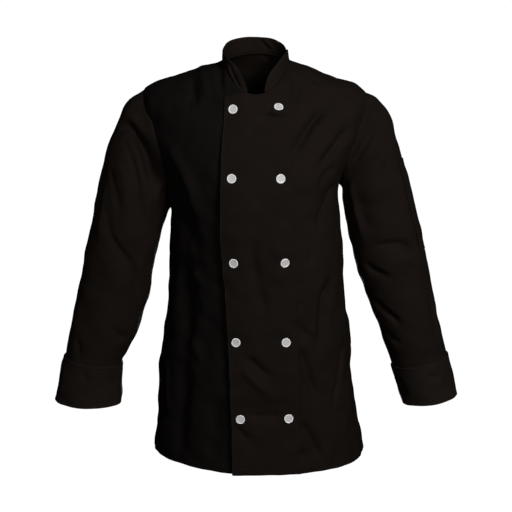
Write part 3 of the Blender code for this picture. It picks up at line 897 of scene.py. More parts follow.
    def on_left_front(self, x: float, z: float) -> tuple:
        """Find the left front at a place of the front view.

        Args:
            x: Place across.
            z: Height.

        Returns:
            Its point there and its outward direction.
        """
        level = self.level_at_height(np.array([x]), np.array([z]))
        theta = self.theta_at_x(np.array([x]), level)
        turn = self.near_step / self.ring_at(level).left_x[0]
        rise = self.near_step / self.ring_rise
        aside = np.array([0.0, turn, -turn, 0.0, 0.0])
        upward = np.array([0.0, 0.0, 0.0, rise, -rise])
        points = self.skin(theta + aside, level + upward, Layer.OVER)
        return points[0], unit(np.cross(points[3] - points[4], points[1] - points[2]))

    def collar_theta(self, side: Side) -> float:
        """Angle on the front of the neck ring at which the collar ends."""
        x = np.array([side.value * self.collar_end])
        return self.theta_at_x(x, np.array([float(self.neck)]))[0]

    def collar_turn(self, count: int) -> np.ndarray:
        """Angles from the collar's left end over the back to its right end."""
        return np.linspace(self.collar_theta(Side.LEFT), self.collar_theta(Side.RIGHT) - 2 * np.pi, count)

    def armhole_levels(self, rows: int) -> np.ndarray:
        """Levels from the armpit to the shoulder tip, closer together towards both."""
        turn = np.linspace(0, np.pi, rows + 1)
        return self.armpit + (self.tip - self.armpit) * (1 - np.cos(turn)) / 2

    def armhole(self, side: Side, rows: int) -> np.ndarray:
        """Angles and levels round an armhole, from the shoulder tip down the front.

        Args:
            side: The wearer's side.
            rows: Rows from the armpit to the tip.

        Returns:
            Angles and levels, two rows.
        """
        levels = self.armhole_levels(rows)
        front = self.theta_at_side(levels, side, Face.FRONT)
        back = self.theta_at_side(levels, side, Face.BACK)
        if side is Side.RIGHT:
            back = np.where(back > np.pi, back, back + 2 * np.pi)
        front[0] = front[-1] = 0.0 if side is Side.LEFT else np.pi
        theta = np.concatenate([front[::-1], back[1:-1]])
        return np.stack([theta, np.concatenate([levels[::-1], levels[1:-1]])])


ARMHOLE_DEPTH = {Side.RIGHT: 0.8, Side.LEFT: 0.15}  # the left armhole's seam is pressed flat
TORSO_FOLDS = on_face(Face.FRONT, (
    # left front, chest and shoulder
    (((61, -158), (75, -128), (92, -102), (117, -74)), 8.3, -9.9),
    (((104, -177), (133, -143), (160, -108)), 9.2, -9.9),
    (((69, -22), (69, -46), (65, -71)), 6.4, -5.3),
    (((92, -23), (113, -37)), 6.4, -4.4),
    (((4, -84), (26, -89), (44, -91), (60, -89)), 5, -3.4),
    (((20, -80), (38, -81), (56, -79)), 6, 5.5),
    (((163, -455), (168, -488), (170, -516)), 14, 4.4),
    (((135, -208), (122, -232)), 7.4, -5.3),
    # left front, waist to hem
    (((133, -364), (120, -405), (114, -465), (104, -486)), 9.2, -11.7),
    (((71, -400), (82, -415)), 4.6, -2.2),
    (((75, -478), (93, -540), (108, -578)), 8.3, -8.7),
    (((157, -488), (147, -547), (134, -597)), 6.4, -8.7),
    (((-19, -493), (8, -521), (28, -533)), 7.4, -7.3),
    (((-26, -511), (4, -545), (33, -571)), 8.3, 5.9),
    (((-18, -598), (16, -603), (50, -597)), 7.4, -7.3),
    (((-33, -622), (-22, -633), (-10, -644)), 5.5, -4.4),
    (((76, -609), (97, -650), (116, -690)), 10, -10.5),
    (((74, -661), (86, -681)), 4.6, -4.4),
    (((-7, -287), (-3, -342), (9, -395), (14, -437)), 10, -5.2),
    (((36, -280), (39, -332), (34, -381)), 9, 2.2),
    (((79, -139), (92, -105), (114, -72)), 6, -3.9),
    (((-17, -105), (10, -115), (27, -110)), 8, -2.0),
    (((138, -170), (118, -187), (105, -211)), 7, -4.4),
    (((132, -219), (112, -250), (105, -288)), 7, -3.4),
    (((85, -274), (95, -312), (91, -350)), 8, -3.4),
    (((52, -437), (76, -451), (107, -480)), 8, -4.2),
    (((-28, -576), (0, -590), (35, -583), (59, -568)), 10, -3.9),
    # right front
    (((-64, 0), (-61, -27), (-57, -56)), 6, -6.0),
    (((-94, -13), (-88, -40), (-84, -62)), 7.4, 4.5),
    (((-113, -24), (-108, -48), (-101, -72)), 8.3, -6.7),
    (((-117, -54), (-112, -88)), 3.3, -3.1, CREASE),
    (((-148, -178), (-131, -227), (-118, -273), (-115, -343)), 20, -9.0),
    (((-154, -142), (-128, -172), (-110, -212), (-98, -272)), 13, 12.3),
    (((-128, -320), (-122, -420), (-126, -520)), 18, -11.2),
    (((-126, -500), (-132, -600), (-140, -700)), 18, -10.1),
    (((-114, -356), (-88, -384)), 9.2, 3.4),
    (((-119, -472), (-90, -524)), 9.2, 3.4),
    (((-160, -510), (-159, -640)), 5.5, 2.6),
    (((-75, -560), (-70, -706)), 18, -6.7),
)) + on_face(Face.BACK, (
    (((-40, -105), (-90, -140), (-142, -188)), 13, -5.6),
    (((42, -112), (88, -138), (138, -172)), 13, -5.6),
    (((-96, -200), (-80, -260), (-58, -335)), 14, -7.0),
    (((100, -195), (86, -250), (68, -318)), 14, -6.3),
    (((-148, -300), (-110, -345), (-60, -362)), 10, -4.2, DRAG),
    (((145, -330), (105, -362), (52, -372)), 10, -4.2, DRAG),
    (((-58, -400), (-66, -520), (-82, -709)), 17, -7.0),
    (((28, -430), (34, -560), (46, -709)), 16, -6.3),
    (((112, -470), (120, -580), (131, -709)), 16, -6.3),
    (((-128, -520), (-134, -620), (-140, -700)), 14, -4.8),
    (((-16, -520), (-20, -620), (-18, -690)), 13, 3.4),
    (((8, -60), (4, -120), (10, -170)), 12, -2.5),
))


@dataclass
class Torso:
    """The two fronts and the back, with their folds, hems and front edge stitching."""

    form: TorsoForm = field(default_factory=TorsoForm)
    cell: float = 3.1 * MM
    cloth: float = 1.2 * MM
    hem_cloth: float = 2.2 * MM
    hem_depth: float = 9 * MM  # the hem is turned up and stitched this far from its fold
    hem_ramp: float = 2 * MM
    front_stitch: float = 6 * MM  # from the left front's edge to its stitches
    front_depth: float = 8 * MM
    front_ramp: float = 3 * MM
    groove: float = 0.15 * MM  # the thread sinks into the cloth this deep
    groove_width: float = 1.6 * MM
    rub_width: float = 1.2 * MM
    edge_steps: tuple = (0.0, 1.0, 2.4, 4.6, 6.0, 7.4, 9.4)  # mm from a stitched edge
    front_line: int = 4  # the step that carries the left front's stitches
    hem_line: int = 5  # the row that carries the hem's
    hem_spread: float = 1.5  # the hem's rows are this much further apart than the steps
    lowest_ring: float = 64 * MM
    skirt: float = 460 * MM  # from the hem to the armpits
    armhole_rows: int = 64
    shoulder_rows: int = 44
    edge_columns: int = 12  # from the stitched edge to the collar's right end
    notch_columns: int = 11  # between the collar's ends
    lap_columns: int = 15  # from there to the end of the overlap
    past_lap: tuple = (2.0, 4.0, 7.0)  # mm past the overlap, where the left front comes down
    side_columns: dict = field(default_factory=lambda: {Side.LEFT: 58, Side.RIGHT: 62})
    top_drop: dict = field(default_factory=lambda: {Side.LEFT: 6 * MM, Side.RIGHT: 24 * MM})
    back_columns: int = 170
    hidden_columns: int = 25  # of the right front, which need no stitches
    lap_top: float = 10.4
    covered_gap: float = 1 * MM
    allowance: tuple = (2.0 * MM, 1.5 * MM)  # the back runs on under the fronts: how far, how deep
    seam_points: int = 60
    neck_points: int = 160
    side_seam: float = 0.8  # depths of the seams, as shares of the usual one
    shoulder_seam: float = 0.9
    neck_seam: float = 0.15
    form_grid: tuple = (190, 260)  # rows and columns of points that the folds are laid on
    last_rows: int = 4  # at the neck, which have no stitches
    past_hem: float = 12.0  # mm, where the hem's close rows end
    cuts: dict = field(default_factory=lambda: {
        "left_front": ((0.355, 0.745), 0.213),
        "right_front": ((0.345, 0.745), 0.213),
        "back": ((0.560, 0.735), 0.350),
    })
    folds: tuple = TORSO_FOLDS

    def __post_init__(self) -> None:
        """Lay the folds and the seams on the plain torso."""
        form = self.form
        levels = np.linspace(0, form.neck, self.form_grid[0])
        theta = np.linspace(-np.pi, np.pi, self.form_grid[1])
        grid = form.ring_point(theta[None, :], levels[:, None])
        theta, levels = np.broadcast_arrays(theta[None, :], levels[:, None])
        form.drapery = Drapery(self.folds, grid, form.direction(theta, levels), seed=7)
        self.add_seams()

    def add_seams(self) -> None:
        """Press the grooves of the side, shoulder, armhole and neck seams."""
        form = self.form
        for side in Side:
            for low, high, depth in ((0.0, form.armpit, self.side_seam),
                                     (form.tip, form.neck, self.shoulder_seam)):
                angle = np.full(self.seam_points, 0.0 if side is Side.LEFT else np.pi)
                levels = np.linspace(low, high, self.seam_points)
                form.drapery.add_seam(form.ring_point(angle, levels), depth)
            theta, levels = form.armhole(side, self.armhole_rows)
            loop = form.ring_point(theta, levels)
            form.drapery.add_seam(np.concatenate([loop, loop[:1]]), ARMHOLE_DEPTH[side])
        neck = np.full(self.neck_points, float(form.neck))
        around = form.collar_turn(self.neck_points)
        form.drapery.add_seam(form.ring_point(around, neck), self.neck_seam)

    def rows(self) -> np.ndarray:
        """Levels of the rows, close together along the stitched hem and at the armhole's ends.

        Returns:
            Ring numbers from the hem up.
        """
        form = self.form
        hem = np.array(self.edge_steps + (self.past_hem,)) * MM * self.hem_spread / self.lowest_ring
        skirt = np.linspace(hem[-1], form.armpit, int(self.skirt / self.cell))
        armhole = form.armhole_levels(self.armhole_rows)
        shoulder = np.linspace(form.tip, form.neck, self.shoulder_rows)
        return np.concatenate([hem[:-1], skirt, armhole[1:], shoulder[1:]])

    def front_places(self, side: Side, levels: np.ndarray) -> np.ndarray:
        """Places across a front near its edge.

        Args:
            side: The wearer's side.
            levels: Level of each row.

        Returns:
            Distances from the middle, rows from the hem up, columns from the front's edge.
        """
        end = self.form.collar_end
        height = self.form.ring_at(levels).front_z
        free = self.form.edge_x(height, "left_front")[:, None]
        covered = self.form.edge_x(height, "right_front")[:, None]
        edge = free + np.array(self.edge_steps) * MM
        stretch = np.linspace(0, 1, self.edge_columns)[1:]
        toward_collar = edge[:, -1:] + (-end - edge[:, -1:]) * stretch
        notch = np.tile(np.linspace(-end, end, self.notch_columns)[1:], (len(levels), 1))
        lap = end + (covered - end) * np.linspace(0, 1, self.lap_columns)[1:]
        places = np.concatenate([edge, toward_collar, notch, lap], axis=1)
        if side is Side.LEFT:
            return np.concatenate([places, covered + np.array(self.past_lap) * MM], axis=1)
        places[:, -1] -= self.covered_gap
        return places[:, ::-1]

    def front_lattice(self, side: Side) -> tuple:
        # The right front gets a darker copy of the same twill: painted shade for the shadow that panel lies
        # in, not a different cloth.
        """Angles and levels of a front's points.

        Args:
            side: The wearer's side.

        Returns:
            Angles and levels, rows from the hem up, columns from the front's edge.
        """
        form = self.form
        levels = self.rows()
        places = self.front_places(side, levels)
        near_levels = np.tile(levels[:, None], (1, places.shape[1]))
        high = np.flatnonzero(levels > self.lap_top)
        across = places[high]
        neck = np.array([float(form.neck)])
        collar_z = form.ring_point(np.array([form.collar_theta(side)]), neck)[0, 2]
        beyond = np.sign(across * side.value) < 0
        reach = (np.abs(across) - form.collar_end) / (np.abs(across[:, :1]) - form.collar_end)
        top = form.level_at_height(across, collar_z - self.top_drop[side] * np.maximum(reach, 0.0) * beyond)
        share = ((levels[high] - self.lap_top) / (form.neck - self.lap_top))[:, None]
        drawn = self.lap_top + (top - self.lap_top) * share
        inside = beyond | (np.abs(across) < form.collar_end)
        near_levels[high] = np.where(inside, drawn, near_levels[high])
        near = form.theta_at_x(places, near_levels)
        end = form.theta_at_side(levels, side, Face.FRONT)
        columns = self.side_columns[side]
        far = near[:, -1:] + (end[:, None] - near[:, -1:]) * np.linspace(0, 1, columns + 1)[1:]
        far_levels = np.tile(levels[:, None], (1, columns))
        return np.concatenate([near, far], axis=1), np.concatenate([near_levels, far_levels], axis=1)

    def shell(self, thetas: np.ndarray, levels: np.ndarray, layer: Layer) -> tuple:
        """Outer and inner faces of a panel.

        Args:
            thetas: Angles of its points.
            levels: Levels of its points.
            layer: The panel.

        Returns:
            The shell, and the outward directions of its outer face.
        """
        outer = self.form.skin(thetas, levels, layer)
        plain = self.form.direction(thetas, levels)
        from_hem = run_length(outer)
        groove = bell(from_hem - self.hem_depth, self.groove_width)
        turned = 1 - smooth_step((from_hem - self.hem_depth) / self.hem_ramp)
        wear = fading(from_hem, self.rub_width)
        if layer is Layer.OVER:
            from_edge = run_across(outer)
            groove = np.maximum(groove, bell(from_edge - self.front_stitch, self.groove_width))
            facing = 1 - smooth_step((from_edge - self.front_depth) / self.front_ramp)
            turned = np.maximum(turned, facing)
            wear = np.maximum(wear, fading(from_edge, self.rub_width))
        thick = self.cloth + (self.hem_cloth - self.cloth) * turned
        outer = outer - plain * (self.groove * groove)[..., None]
        normal = grid_normals(outer, closed=False)
        normal = normal * np.sign((normal * plain).sum(-1, keepdims=True))
        rims = (1.0, 0.0, 0.0 if layer is Layer.BACK else 1.0, 0.0)
        return Shell(outer, outer - normal * thick[..., None], rims, wear=wear), normal

    def build(self, twill: bpy.types.Material, shaded_twill: bpy.types.Material,
              thread: bpy.types.Material) -> None:
        """Make the three panels and their stitches.

        Args:
            twill: Finish of the cloth.
            shaded_twill: The right front's twill, a darker copy of the cloth's finish that paints the shade
                falling on that panel.
            thread: Finish of the stitches.
        """
        hems = Stitching()
        edge = Stitching()
        row = self.hem_line
        shell, normal = self.shell(*self.front_lattice(Side.RIGHT), Layer.UNDER)
        hems.add(shell.outer[row, self.hidden_columns:], normal[row, self.hidden_columns:])
        # the right front takes the darker twill, which paints its shade
        self.place(shell, "right_front", shaded_twill)
        shell, normal = self.shell(*self.front_lattice(Side.LEFT), Layer.OVER)
        hems.add(shell.outer[row], normal[row])
        stitched = slice(row, -self.last_rows), self.front_line
        edge.add(shell.outer[stitched], normal[stitched])
        self.place(shell, "left_front", twill)
        levels = self.rows()
        start = self.form.theta_at_side(levels, Side.LEFT, Face.BACK)
        end = self.form.theta_at_side(levels, Side.RIGHT, Face.BACK) - 2 * np.pi
        thetas = start[:, None] + (end - start)[:, None] * np.linspace(0, 1, self.back_columns)
        levels = np.tile(levels[:, None], (1, self.back_columns))
        shell, normal = self.shell(thetas, levels, Layer.BACK)
        hems.add(shell.outer[row], normal[row])
        self.place(self.with_allowance(shell, normal), "back", twill)
        dress(hems.build("hem_stitches"), thread, TWILL_SLOT)
        dress(edge.build("front_edge_stitches"), thread, TWILL_SLOT)

    def with_allowance(self, shell: Shell, normal: np.ndarray) -> Shell:
        """Run the back's side edges on under the fronts, so that no seam gapes.

        Args:
            shell: The back's shell.
            normal: Outward directions of its outer face.

        Returns:
            The wider shell.
        """
        run, deep = self.allowance
        faces = []
        for face in (shell.outer, shell.inner):
            first = face[:, 0] + run * unit(face[:, 0] - face[:, 1]) - deep * normal[:, 0]
            last = face[:, -1] + run * unit(face[:, -1] - face[:, -2]) - deep * normal[:, -1]
            faces.append(np.concatenate([first[:, None], face, last[:, None]], axis=1))
        wear = np.pad(shell.wear, ((0, 0), (1, 1)), mode="edge")
        return Shell(faces[0], faces[1], shell.rims, wear=wear)

    def place(self, shell: Shell, node: str, twill: bpy.types.Material) -> None:
        """Make a panel and let it stand for its solid.

        Args:
            shell: The panel.
            node: CAD node that it stands for.
            twill: Its finish.
        """
        piece = shell.build(node + "_cloth")
        dress(piece, twill, TWILL_SLOT, node)


def dress(piece: bpy.types.Object, material: bpy.types.Material, slot: str, *nodes: str) -> None:
    """Give a piece its finish, let it ride, and hide the solids that it stands for.

    Args:
        piece: The piece.
        material: Its finish.
        slot: Name of a material slot that the finish goes by; not used.
        nodes: CAD nodes that the piece stands for.
    """
    if not piece.data.materials:
        piece.data.materials.append(material)
    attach(piece, BODY)
    if nodes:
        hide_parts(*nodes)
    triangles = sum(len(face.vertices) - 2 for face in piece.data.polygons)
    LOG.info("%s: %d triangles", piece.name, triangles)


# ---------------------------------------------------------------- collar
Station = namedtuple("Station", "share height lean")


@dataclass
class Collar:
    """The stand collar: a stitched band, high at the back, that drops at the sides to round ends.

    Each station has its share of the way round the neck from the wearer's left end over the back
    to the right end, the band's height in millimetres and its lean inward in degrees.
    """

    form: TorsoForm
    stations: tuple = (
        Station(0.000, 4.0, 8), Station(0.008, 9.0, 9), Station(0.020, 14.5, 11),
        Station(0.040, 19.5, 13), Station(0.070, 22.0, 15), Station(0.120, 21.5, 16),
        Station(0.165, 19.5, 14), Station(0.210, 18.8, 9), Station(0.270, 17.5, 9),
        Station(0.330, 17.5, 7), Station(0.375, 21.8, 6), Station(0.420, 25.6, 6),
        Station(0.500, 27.0, 6), Station(0.570, 28.4, 6), Station(0.630, 28.6, 5),
        Station(0.680, 25.0, 1), Station(0.730, 19.5, -2), Station(0.790, 17.0, 2),
        Station(0.840, 18.5, 12), Station(0.910, 20.5, 15), Station(0.955, 18.0, 12),
        Station(0.980, 12.5, 9), Station(0.992, 7.5, 7), Station(1.000, 4.0, 6),
    )
    thick: float = 2.0 * MM
    square: float = 0.7  # how nearly the columns stand square to the neckline
    rows: int = 18
    crowding: float = 1.25  # the rows lie closer together towards the upper edge
    neck_points: int = 500
    spacing: float = 1.5 * MM
    even_out: int = 21  # points of the neckline that are averaged
    foot: tuple = ((-2.6, 1.8), (-1.1, 1.6), (-0.2, 0.3))  # mm above the neckline, mm inside it
    edge_stitch: float = 4.5 * MM  # from the upper edge to its stitches
    edge_shortest: float = 10 * MM  # the band carries them where it is higher than this
    foot_stitch: float = 3.2 * MM
    foot_shortest: float = 6 * MM
    groove: float = 0.3 * MM
    groove_width: float = 1.5 * MM
    foot_groove: float = 0.6  # as a share of the upper row's
    rub_width: float = 1.2 * MM
    fold_start: float = 4 * MM
    seed: int = 31
    cut: tuple = (0.430, 0.030)
    creases: tuple = on_face(Face.FRONT, (  # on its right end
        (((-53, -2), (-46, -20), (-32, -44)), 2.8, -4.6),
        (((-46, -2), (-36, -24), (-24, -46)), 2.4, -4.2),
        (((-48, -5), (-41, -24), (-29, -46)), 2.2, 3.0),
    )) + on_face(Face.BACK, (
        (((2, 40), (13, 28), (26, 16)), 3.4, 1.8),
        (((12, 40), (22, 28), (34, 20)), 3.0, -1.5),
        (((-30, 38), (-32, 22), (-30, 10)), 6.0, -1.0),
    ))

    def base(self) -> np.ndarray:
        """Points of the neckline, from the left collar end over the back to the right one.

        Returns:
            The points, evened out where the panels meet at the shoulder seams.
        """
        form = self.form
        theta = form.collar_turn(self.neck_points)
        length = run_length(form.ring_point(theta, np.full(len(theta), float(form.neck))))
        even = np.linspace(0, length[-1], int(length[-1] / self.spacing))
        theta = np.interp(even, length, theta)
        level = np.full(len(theta), float(form.neck))
        layers = [form.skin(theta, level, layer) for layer in (Layer.OVER, Layer.BACK, Layer.UNDER)]
        which = np.where(theta > 0, 0, np.where(theta < -np.pi, 2, 1))
        plain = form.ring_point(theta, level)
        offset = np.stack(layers)[which, np.arange(len(theta))] - plain
        weights = np.hanning(self.even_out + 2)[1:-1]
        weights = weights / weights.sum()
        padded = np.pad(offset, ((self.even_out // 2, self.even_out // 2), (0, 0)), mode="edge")
        even = [np.convolve(padded[:, axis], weights, "valid") for axis in range(3)]
        return plain + np.stack(even, axis=-1)

    def build(self, twill: bpy.types.Material, thread: bpy.types.Material) -> None:
        """Make the collar and its stitches.

        Args:
            twill: Finish of the cloth.
            thread: Finish of the stitches.
        """
        base = self.base()
        tangent = unit(np.gradient(base, axis=0))
        length = run_length(base)
        share = length / length[-1]
        shares = [station.share for station in self.stations]
        table = smooth_rows([(station.height * MM, math.radians(station.lean)) for station in self.stations])
        height, lean = table(np.interp(share, shares, np.arange(len(shares)))).T
        inward = unit(np.stack([-base[:, 0], -base[:, 1], np.zeros(len(base))], axis=-1))
        upright = np.array([0.0, 0.0, 1.0])
        rise = np.cos(lean)[:, None] * upright + np.sin(lean)[:, None] * inward
        rise = unit(rise - self.square * (rise * tangent).sum(-1, keepdims=True) * tangent)
        up = 1 - (1 - np.linspace(0, 1, self.rows + 1)) ** self.crowding
        lift = self.form.seam + up[:, None] * (height[None, :] - self.form.seam)
        foot = np.array(self.foot) * MM
        lift = np.concatenate([np.tile(foot[:, :1], (1, len(base))), lift])
        inside = np.concatenate([foot[:, 1], np.zeros(len(up))])
        outer = base[None] + rise[None] * lift[..., None] + inward[None] * inside[:, None, None]
        normal = grid_normals(outer, closed=False)
        if (normal * inward[None]).sum() > 0:
            normal = -normal
        from_top = height[None] - lift
        groove = bell(from_top - self.edge_stitch, self.groove_width)
        groove += self.foot_groove * bell(lift - self.foot_stitch, self.groove_width)
        drapery = Drapery(self.creases, outer, normal, self.seed)
        drapery.crumple = Crumple(self.seed, shortest=16 * MM, height=0.30 * MM)
        swell = drapery.height(outer, normal) * smooth_step(lift / self.fold_start)
        outer = outer + normal * (swell - self.groove * groove)[..., None]
        wear = fading(from_top, self.rub_width)
        shell = Shell(outer, outer - normal * self.thick, (0.0, 1.0, 1.0, 1.0), wear=wear)
        piece = shell.build("collar_cloth")
        dress(piece, twill, TWILL_SLOT, "collar")
        self.stitch(outer, normal, lift, height, thread)

    def stitch(self, outer: np.ndarray, normal: np.ndarray, lift: np.ndarray, height: np.ndarray,
               thread: bpy.types.Material) -> None:
        """Sew a row along the collar's upper edge and round its ends, and one above the neck seam.

        Args:
            outer: Points of the outer face.
            normal: Their outward directions.
            lift: Height of each point above the neckline.
            height: Height of the collar at each column.
            thread: Finish of the stitches.
        """
        stitches = Stitching()
        foot = np.full(len(height), self.foot_stitch)
        for level, shortest in ((height - self.edge_stitch, self.edge_shortest), (foot, self.foot_shortest)):
            points, ways = [], []
            for column in np.flatnonzero(height > shortest):
                heights = lift[:, column]
                points.append([np.interp(level[column], heights, outer[:, column, axis])
                               for axis in range(3)])
                ways.append(normal[np.argmin(np.abs(heights - level[column])), column])
            points, ways = np.array(points), np.array(ways)
            stitches.add(points, ways)
            stitches.add(points - ways * self.thick, -ways)
        dress(stitches.build("collar_stitches"), thread, TWILL_SLOT)


# ---------------------------------------------------------------- sleeves
Section = namedtuple("Section", "outer_x outer_z inner_x inner_z half_depth middle_y")


@dataclass
class Sleeve:
    """One set-in sleeve, from the armhole to the turned-back cuff.

    Each section is an ellipse from its outer point to its inner point, with a half depth in Y.
    """

    form: TorsoForm
    side: Side
    sections: tuple
    folds: tuple
    cut: tuple
    seed: int
    cuff_seam: int = 9
    cuff_edge: int = 10
    tuck: float = 0.07  # share of a section by which it ends inside the cuff
    half_columns: int = 64
    cell: float = 3.0 * MM
    cloth: float = 1.2 * MM
    fold_start: float = 0.35
    form_rows: int = 190  # rings of points that the folds are laid on
    armhole_height: float = 0.25  # share of the folds' height at the armhole
    pressed_seam: float = -0.4 * MM  # the left seam is pressed flat, edge under edge
    arm_seam: float = 0.7  # depth of the seam under the arm

    def __post_init__(self) -> None:
        """Lay the sections' rings on the armhole, and the folds and seams on them."""
        self.name = self.side.name.lower() + "_sleeve"
        form = self.form
        theta, level = form.armhole(self.side, self.half_columns)
        plain = form.ring_point(theta, level)
        loop = form.skin(theta, level)
        count = len(loop)
        half = count // 2
        length = np.linalg.norm(np.diff(np.vstack([plain, plain[:1]]), axis=0), axis=1)
        angle = np.zeros(count)
        angle[1:half + 1] = np.pi * np.cumsum(length[:half]) / length[:half].sum()
        angle[half + 1:] = np.pi + np.pi * np.cumsum(length[half:-1]) / length[half:].sum()
        rings = []
        for section in self.sections:
            outer = np.array([section.outer_x, section.middle_y, section.outer_z])
            inner = np.array([section.inner_x, section.middle_y, section.inner_z])
            depth = np.array([0.0, -section.half_depth, 0.0])
            ring = (outer + inner) / 2 + np.cos(angle)[:, None] * (outer - inner) / 2
            rings.append(ring + np.sin(angle)[:, None] * depth)
        tangent = unit(np.roll(loop, -1, axis=0) - np.roll(loop, 1, axis=0))
        leaving = rings[0] - loop
        leaving = unit(leaving - (leaving * tangent).sum(-1, keepdims=True) * tangent)
        start = loop + (form.seam if self.side is Side.RIGHT else self.pressed_seam) * leaving
        at = smooth_rows(np.array([start] + rings).reshape(len(rings) + 1, -1))
        self.ring = lambda place: np.roll(at(place).reshape(-1, count, 3), -half, axis=1)
        grid = self.ring(np.linspace(0, self.cuff_edge, self.form_rows))
        self.drapery = Drapery(self.folds, grid, self.outward(grid), seed=self.seed)
        self.drapery.add_seam(np.concatenate([start, start[:1]]), ARMHOLE_DEPTH[self.side])
        self.drapery.add_seam(grid[:, 0], self.arm_seam)

    def outward(self, points: np.ndarray) -> np.ndarray:
        """Outward directions of a tube's points; its rows are rings."""
        normal = grid_normals(points, closed=True)
        return normal if self.side is Side.LEFT else -normal

    def surface(self, places: np.ndarray) -> tuple:
        """Outer face of the sleeve with its folds.

        Args:
            places: Places along the sleeve, one for each ring of points.

        Returns:
            The points and their outward directions. Column 0 is the seam under the arm.
        """
        points = self.ring(places)
        plain = self.outward(points)
        height = self.drapery.height(points, plain)
        fade = smooth_step(np.asarray(places) / self.fold_start)
        fade = self.armhole_height + (1 - self.armhole_height) * fade
        points = points + plain * (height * fade[:, None])[..., None]
        return points, self.outward(points)

    def places(self, start: float, end: float) -> np.ndarray:
        """Places along the sleeve about one cell apart.

        Args:
            start: First place.
            end: Last place.

        Returns:
            The places.
        """
        coarse = np.linspace(start, end, 80)
        length = run_length(self.ring(coarse)).mean(axis=1)
        wanted = np.linspace(0, length[-1], int(length[-1] / self.cell) + 1)
        return np.interp(wanted, length, coarse)

    def build(self, twill: bpy.types.Material) -> None:
        """Make the sleeve.

        Args:
            twill: Finish of the cloth.
        """
        outer, normal = self.surface(self.places(0, self.cuff_edge - self.tuck))
        shell = Shell(outer, outer - self.cloth * normal, (0.0, 1.0), closed=True)
        piece = shell.build(self.name + "_cloth")
        dress(piece, twill, TWILL_SLOT, self.name)


@dataclass
class Cuff:
    """The turned-back cuff: a thick band with a rolled upper edge and two stitched rows."""

    sleeve: Sleeve
    cut: tuple
    cloth: float = 1.6 * MM
    gap: float = 0.3 * MM
    flare: float = 1.2 * MM
    stitch_in: float = 7 * MM  # from both edges to their stitches
    groove: float = 0.35 * MM
    groove_width: float = 1.5 * MM
    roll: float = 0.35 * MM  # the upper edge stands out
    roll_width: float = 3.0 * MM
    turn_in: float = 2.2 * MM  # the lower edge turns in under the sleeve's end
    turn_in_width: float = 4 * MM
    foot_rub: float = 1.4 * MM
    top_rub: float = 1.6 * MM
    top_wear: float = 0.7
    near_top: tuple = (0, 0.012, 0.03, 0.055, 0.08, 0.11, 0.14)  # rows, as shares of its height
    near_foot: tuple = (0.925, 0.95, 0.968, 0.984, 0.994, 1.0)

    def build(self, twill: bpy.types.Material, thread: bpy.types.Material) -> None:
        """Make the cuff and its stitches.

        Args:
            twill: Finish of the cloth.
            thread: Finish of the stitches.
        """
        share = np.concatenate([self.near_top, np.linspace(0.18, 0.90, 24), self.near_foot])
        base, normal = self.sleeve.surface(self.sleeve.cuff_seam + share)
        down = run_length(base).mean(axis=1)
        up = down[-1] - down
        groove = bell(down - self.stitch_in, self.groove_width)
        groove += bell(up - self.stitch_in, self.groove_width)
        lift = self.gap + self.flare * share
        swell = Crumple(self.sleeve.seed + 5, shortest=18 * MM, longest=50 * MM, height=0.3 * MM).at(base)
        stand = lift + self.cloth + self.roll * bell(down, self.roll_width) - self.groove * groove
        outer = base + normal * (stand[:, None] + swell)[..., None]
        under = self.turn_in * bell(up, self.turn_in_width)
        inner = base + normal * (lift - under)[:, None, None]
        wear = fading(up, self.foot_rub) + self.top_wear * fading(down, self.top_rub)
        wear = np.tile(wear[:, None], (1, base.shape[1]))
        name = self.sleeve.side.name.lower() + "_cuff"
        piece = Shell(outer, inner, (1.0, 1.0), closed=True, wear=wear).build(name + "_cloth")
        dress(piece, twill, TWILL_SLOT, name)
        stitches = Stitching()
        ring = np.r_[0:outer.shape[1], 0]
        for distance in (down, up):
            row = int(np.argmin(np.abs(distance - self.stitch_in)))
            stitches.add(outer[row, ring], normal[row, ring])
        dress(stitches.build(name + "_stitches"), thread, TWILL_SLOT)


@dataclass
class SleevePocket:
    """The narrow pocket on the upper arm, sewn on along its sides and foot."""

    sleeve: Sleeve
    cut: tuple = (0.090, 0.150)
    start: float = 3.0  # places along the sleeve
    end: float = 6.0
    half_columns: int = 16
    cloth: float = 0.8 * MM
    gap: float = 0.2 * MM
    puff: float = 0.9 * MM  # the patch stands a little off the arm
    puff_run: float = 12 * MM
    lining_puff: float = 0.6
    side_stitch: float = 2.6 * MM
    side_groove: float = 0.25 * MM
    side_width: float = 1.3 * MM
    mouth_stitch: float = 14 * MM  # from the mouth to its hem's stitches
    mouth_groove: float = 0.35 * MM
    mouth_width: float = 1.5 * MM
    rub_width: float = 1.0 * MM

    def build(self, twill: bpy.types.Material, thread: bpy.types.Material) -> None:
        """Make the pocket and its stitches.

        Args:
            twill: Finish of the cloth.
            thread: Finish of the stitches.
        """
        middle = self.sleeve.half_columns
        columns = slice(middle - self.half_columns, middle + self.half_columns + 1)
        base, normal = self.sleeve.surface(self.sleeve.places(self.start, self.end))
        base, normal = base[:, columns], normal[:, columns]
        down = run_length(base)
        across = run_across(base)
        near = np.minimum(np.minimum(across, across[:, -1:] - across), down[-1:] - down)
        puff = self.puff * smooth_step(near / self.puff_run)
        groove = self.side_groove * bell(near - self.side_stitch, self.side_width)
        groove += self.mouth_groove * bell(down - self.mouth_stitch, self.mouth_width)
        outer = base + normal * (self.gap + self.cloth + puff - groove)[..., None]
        inner = base + normal * (self.gap + self.lining_puff * puff)[..., None]
        wear = fading(np.minimum(near, down), self.rub_width)
        piece = Shell(outer, inner, (1.0, 1.0, 1.0, 1.0), wear=wear).build("sleeve_pocket_cloth")
        dress(piece, twill, TWILL_SLOT, "sleeve_pocket")
        stitches = Stitching()
        for column in (1, -2):
            stitches.add(outer[1:-1, column], normal[1:-1, column])
        for row in (-2, int(np.argmin(np.abs(down[:, 0] - self.mouth_stitch)))):
            stitches.add(outer[row, 1:-1], normal[row, 1:-1])
        dress(stitches.build("pocket_stitches"), thread, TWILL_SLOT)


